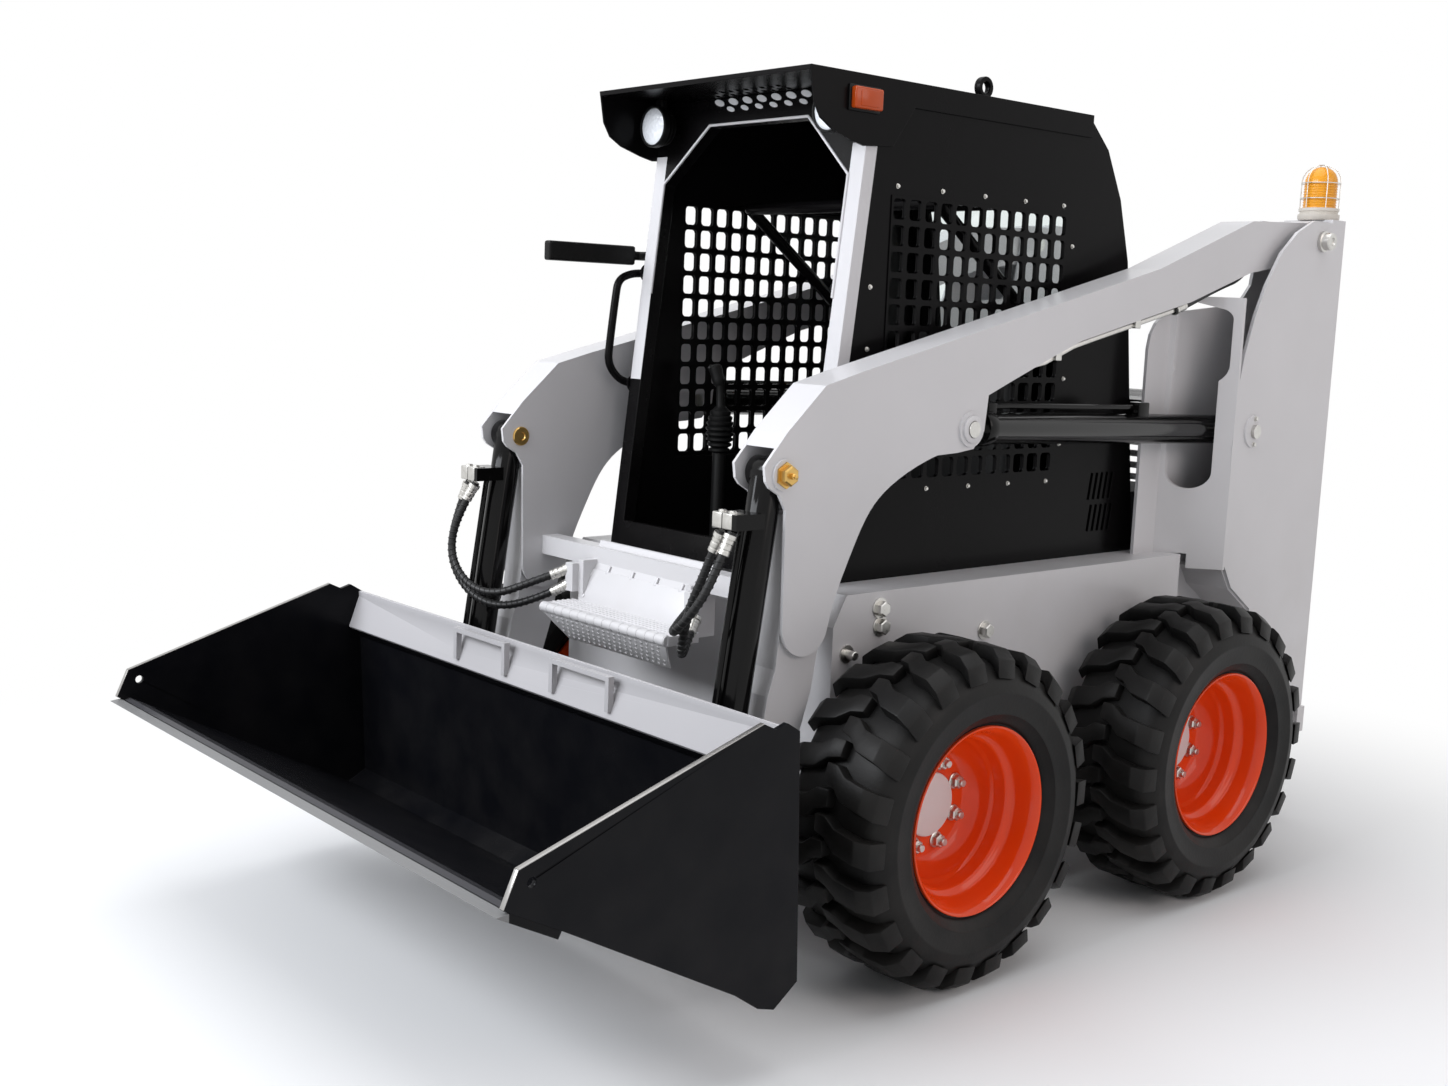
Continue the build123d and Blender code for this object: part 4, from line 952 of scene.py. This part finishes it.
for side, sign in SIDES:
    outward = (sign, 0, 0)
    plug = turned_piece("tilt_pin_plug_" + side, PIN_PLUG, 6,
                        aft(sign * ARM_FACE_X, TILT_Y, TILT_Z), outward)
    nipple = turned_piece("tilt_pin_nipple_" + side, NIPPLE, 14,
                          aft(sign * (ARM_FACE_X + 0.020), TILT_Y, TILT_Z), outward)
    dressed(joined("tilt_pin_end_" + side, [plug, nipple]), "arms", brass)
    inner = turned_piece("tilt_pin_cap_" + side, PIN_CAP, 32, aft(sign * ARM_INNER_X, TILT_Y, TILT_Z),
                         (-sign, 0, 0))
    dressed(inner, "arms", brass)
    collar = turned_piece("rod_pin_collar_" + side, COLLAR, 36,
                          aft(sign * ARM_FACE_X, 0.209, 1.295), outward, hollow=True)
    dressed(collar, "arms", grey_paint)
    x = sign * OIL_X
    clips = [pipe("arm_oil_pipe_" + side, [aft(x, y, z) for y, z in OIL_RUN], 0.008)]
    tail = [aft(x, y, z) for y, z in REAR_RUN]
    rear_hose = pipe("arm_rear_hose_" + side, tail, 0.012, 16, smooth=True)
    dressed(rear_hose, "arms", hose_rubber)
    sleeve = turned_piece("arm_hose_sleeve_" + side, CRIMP, 24, tail[0], tail[1] - tail[0])
    dressed(sleeve, "arms", plated_steel)
    for y, z in OIL_CLIPS:
        clips.append(block("pipe_clip", aft(x - 0.016, y - 0.012, z - 0.011),
                           aft(x + 0.016, y + 0.012, z + 0.020), 0.003))
    dressed(joined("arm_oil_line_" + side, clips), "arms", plated_steel)

# Step on the cross member
# The step is folded from one sheet: a flat tread with raised bars, a rolled nose with grip bands,
# and an apron of studded sheet under the nose. A cover plate is screwed to the panel above it.
TREAD_HALF, NOSE_HALF, APRON_HALF, COVER_HALF = 0.250, 0.258, 0.256, 0.226
BANDS = 15
BAND = 2 * NOSE_HALF / BANDS
APRON_TOP = aft(0, -0.4740, 0.7690)
APRON_FOOT = aft(0, -0.4180, 0.6980)
APRON_TAPER = 0.045
STUD_ROWS, STUD_RISE, STUD_STEP = 5, 0.0165, 0.011
SCREW = [(0.004, 0.0065), (0.0070, 0.0060), (0.0080, 0.0035)]
PANEL_RISE, PANEL_RUN = 0.947 - 0.782, 0.382 - 0.311
bars = []
for count in range(5):
    y = -0.446 + 0.0155 * count
    bars.append(block("step_bar", aft(-TREAD_HALF, y - 0.003, 0.789),
                      aft(TREAD_HALF, y + 0.003, 0.7935), 0.0014))
dressed(joined("step_bars", bars), "arms", grey_paint)
nose_steps = [(-NOSE_HALF, 0.0120)]
for count in range(BANDS):
    start = -NOSE_HALF + BAND * count
    nose_steps += [(start + 0.001, 0.0140), (start + BAND - 0.004, 0.0140), (start + BAND - 0.003, 0.0128),
                   (start + BAND, 0.0128)]
nose = turned_piece("step_nose", nose_steps, 28, aft(0, -0.470, 0.7790), (1, 0, 0))
dressed(nose, "arms", grey_paint)
slope = APRON_FOOT - APRON_TOP
drop = slope.length
apron = block("apron_sheet", (-APRON_HALF, -0.0025, -drop), (APRON_HALF, 0.0025, 0.0), 0.0010, 2)
moved(lambda p: p.z < -0.5 * drop and p.x > 0, (-APRON_TAPER, 0, 0))
moved(lambda p: p.z < -0.5 * drop and p.x < 0, (APRON_TAPER, 0, 0))
bpy.ops.object.mode_set(mode="OBJECT")
studs = [apron]
stud = turned_piece("apron_stud", [(0, 0.0050), (0.0016, 0.0036)], 4, facing=(0, -1, 0))
for row in range(STUD_ROWS):
    z = -0.012 - STUD_RISE * row
    count = int((0.240 + z * 0.5) / STUD_STEP)
    for column in range(-count, count + 1):
        if (row + column) % 2 == 0:
            studs.append(copied(stud, "stud", Matrix.Translation((STUD_STEP * column, -0.0024, z))))
bpy.data.objects.remove(stud)
apron = joined("step_apron", studs)
apron.data.transform(Matrix.Translation(APRON_TOP) @ Matrix.Rotation(math.atan2(slope.y, -slope.z), 4, "X"))
dressed(apron, "arms", grey_paint)
fixings = [block("step_cover", (-COVER_HALF, -0.0050, -0.046), (COVER_HALF, 0.0, 0.046), 0.0015)]
for x in (-0.212, 0.212):
    for z in (0.030, -0.030):
        fixings.append(turned_piece("cover_screw", SCREW, 12, (x, 0, z), (0, -1, 0)))
for count in range(4):
    x = -0.150 + 0.100 * count
    fixings.append(block("cover_catch", (x - 0.006, -0.0060, 0.040), (x + 0.006, 0.0, 0.062), 0.0018))
cover = joined("step_cover_plate", fixings)
panel_lean = Matrix.Rotation(math.atan2(PANEL_RISE, PANEL_RUN) - math.pi / 2, 4, "X")
cover.data.transform(Matrix.Translation(aft(0, -0.3605, 0.832)) @ panel_lean)
dressed(cover, "arms", grey_paint)

# Lift cylinders
# Long black cylinders with chromed rods. An oil pipe runs along the top of each from a port
# block to the rod end.
CYLINDER_X = 0.520
OIL_PIPE_R = 0.0075
LIFT_RUN = ((0.968, 1.338), (0.900, 1.3385), (0.420, 1.3470), (0.345, 1.3460))
cylinder_black = coat("cylinder_black", (0.0040, 0.0038, 0.0039), 0.11, 0.02, 0.0, gloss=0.16)
painted(cylinder_black, 0.002, "lift_barrels")
chrome = coat("rod_chrome", (0.62, 0.61, 0.60), 0.12, 0.02, 0.0, metal=1.0)
painted(chrome, 0.001, "lift_rods", "tilt_rods")
for side, sign in SIDES:
    x = sign * CYLINDER_X
    ports = joined("lift_ports_" + side, [
        block("lift_port_" + side, aft(x - 0.022, 0.962, 1.305), aft(x + 0.022, 1.010, 1.352), 0.004),
        block("lift_gland_port_" + side, aft(x - 0.018, 0.318, 1.325), aft(x + 0.018, 0.352, 1.356), 0.004),
        pipe("lift_pipe_" + side, [aft(x, y, z) for y, z in LIFT_RUN], OIL_PIPE_R)])
    dressed(ports, "lift_barrels", cylinder_black)

# Tilt cylinders
# Black cylinders in front of the arms' feet, each with a black oil pipe down its front and a
# clamp that holds a plated port block for the two hoses.
TILT_TOP = aft(0, TILT_Y, TILT_Z)
TILT_FOOT = aft(0, -0.528, 0.428)
TILT_PIPE = ((0.112, 0.030), (0.118, 0.049), (0.140, 0.053), (0.600, 0.053), (0.650, 0.053), (0.668, 0.048),
             (0.672, 0.030))
PORT_X = {"left": 0.513, "right": -0.531}
PORT_STEP = 0.017
PORT_HALF = 0.016
PORT_PLUG = [(0, 0.010), (0.003, 0.010), (0.005, 0.008)]
painted(cylinder_black, 0.002, "tilt_barrels")
tilt_run = (TILT_FOOT - TILT_TOP).normalized()
tilt_front = Vector((0, tilt_run.z, -tilt_run.y))
for side, sign in SIDES:
    top = TILT_TOP + Vector((sign * CYLINDER_X, 0, 0))
    run = [top + tilt_run * down_by + tilt_front * out for down_by, out in TILT_PIPE]
    dressed(pipe("tilt_pipe_" + side, run, OIL_PIPE_R), "tilt_barrels", cylinder_black)
    ports = []
    for x in (PORT_X[side] - PORT_STEP, PORT_X[side] + PORT_STEP):
        ports.append(block("port", aft(x - PORT_HALF, -0.5375, 1.0846),
                           aft(x + PORT_HALF, -0.500, 1.1215), 0.003))
        ports.append(turned_piece("port_plug", PORT_PLUG, 6, aft(x, -0.520, 1.1210)))
    dressed(joined("tilt_port_block_" + side, ports), "tilt_barrels", plated_steel)

# Bucket
# A wide dirt bucket of welded black plate with a light grey band and step brackets along the top
# of its back, ground steel along the side plates' edges and a worn cutting edge.
SIDE_PLATE_X = 0.902
INSIDE = [("X", "LESS_THAN", 0.8955), ("X", "GREATER_THAN", -0.8955)]
TOP_BAND = INSIDE + [("Z", "GREATER_THAN", 0.630), ("Y", "GREATER_THAN", -0.700 + AXLE),
                     ("Y", "LESS_THAN", -0.6535 + AXLE)]
LIP = INSIDE + [("Y", "LESS_THAN", -1.270 + AXLE)]
WORN_LIP = [("Y", "LESS_THAN", -1.336 + AXLE)]
EDGE_LINE = ((-1.3475, 0.5170), (-1.3180, 0.5840), (-0.7500, 0.7630))
# The bucket's black base colour carries a faint blue tint: a painted reflection that stands in for the cool
# sheen on the glossy plate.
bucket_paint = zoned("bucket_paint", (0.0042, 0.0044, 0.0058),
                     [((0.46, 0.45, 0.46), TOP_BAND), ((0.050, 0.050, 0.055), LIP)],
                     0.22, 0.012, 0.015, 0.09)
painted(bucket_paint, 0.0015, "bucket")
painted(black_paint, 0.003, "coupler")
worn_steel = coat("worn_steel", (0.40, 0.39, 0.38), 0.36, 0.15, 0.05, metal=1.0)
edge_paint = zoned("cutting_edge_paint", (0.0040, 0.0040, 0.0046), [((0.20, 0.20, 0.20), WORN_LIP)],
                   0.30, 0.10, 0.0, 0.10)
painted(edge_paint, 0.001, "cutting_edge")
for side, sign in SIDES:
    strips = []
    for (y0, z0), (y1, z1) in zip(EDGE_LINE, EDGE_LINE[1:]):
        long = math.hypot(y1 - y0, z1 - z0)
        strip = block("edge_strip", (-0.006, 0, -0.0005), (0.006, long, 0.0014), 0.0004, 2)
        turn = Matrix.Rotation(math.atan2(z1 - z0, y1 - y0), 4, "X")
        strip.data.transform(Matrix.Translation(aft(sign * SIDE_PLATE_X, y0, z0)) @ turn)
        strips.append(strip)
    dressed(joined("bucket_edge_" + side, strips), "tool", worn_steel)

# Last update
# The view layer is brought up to date with every dressed piece.
bpy.context.view_layer.update()
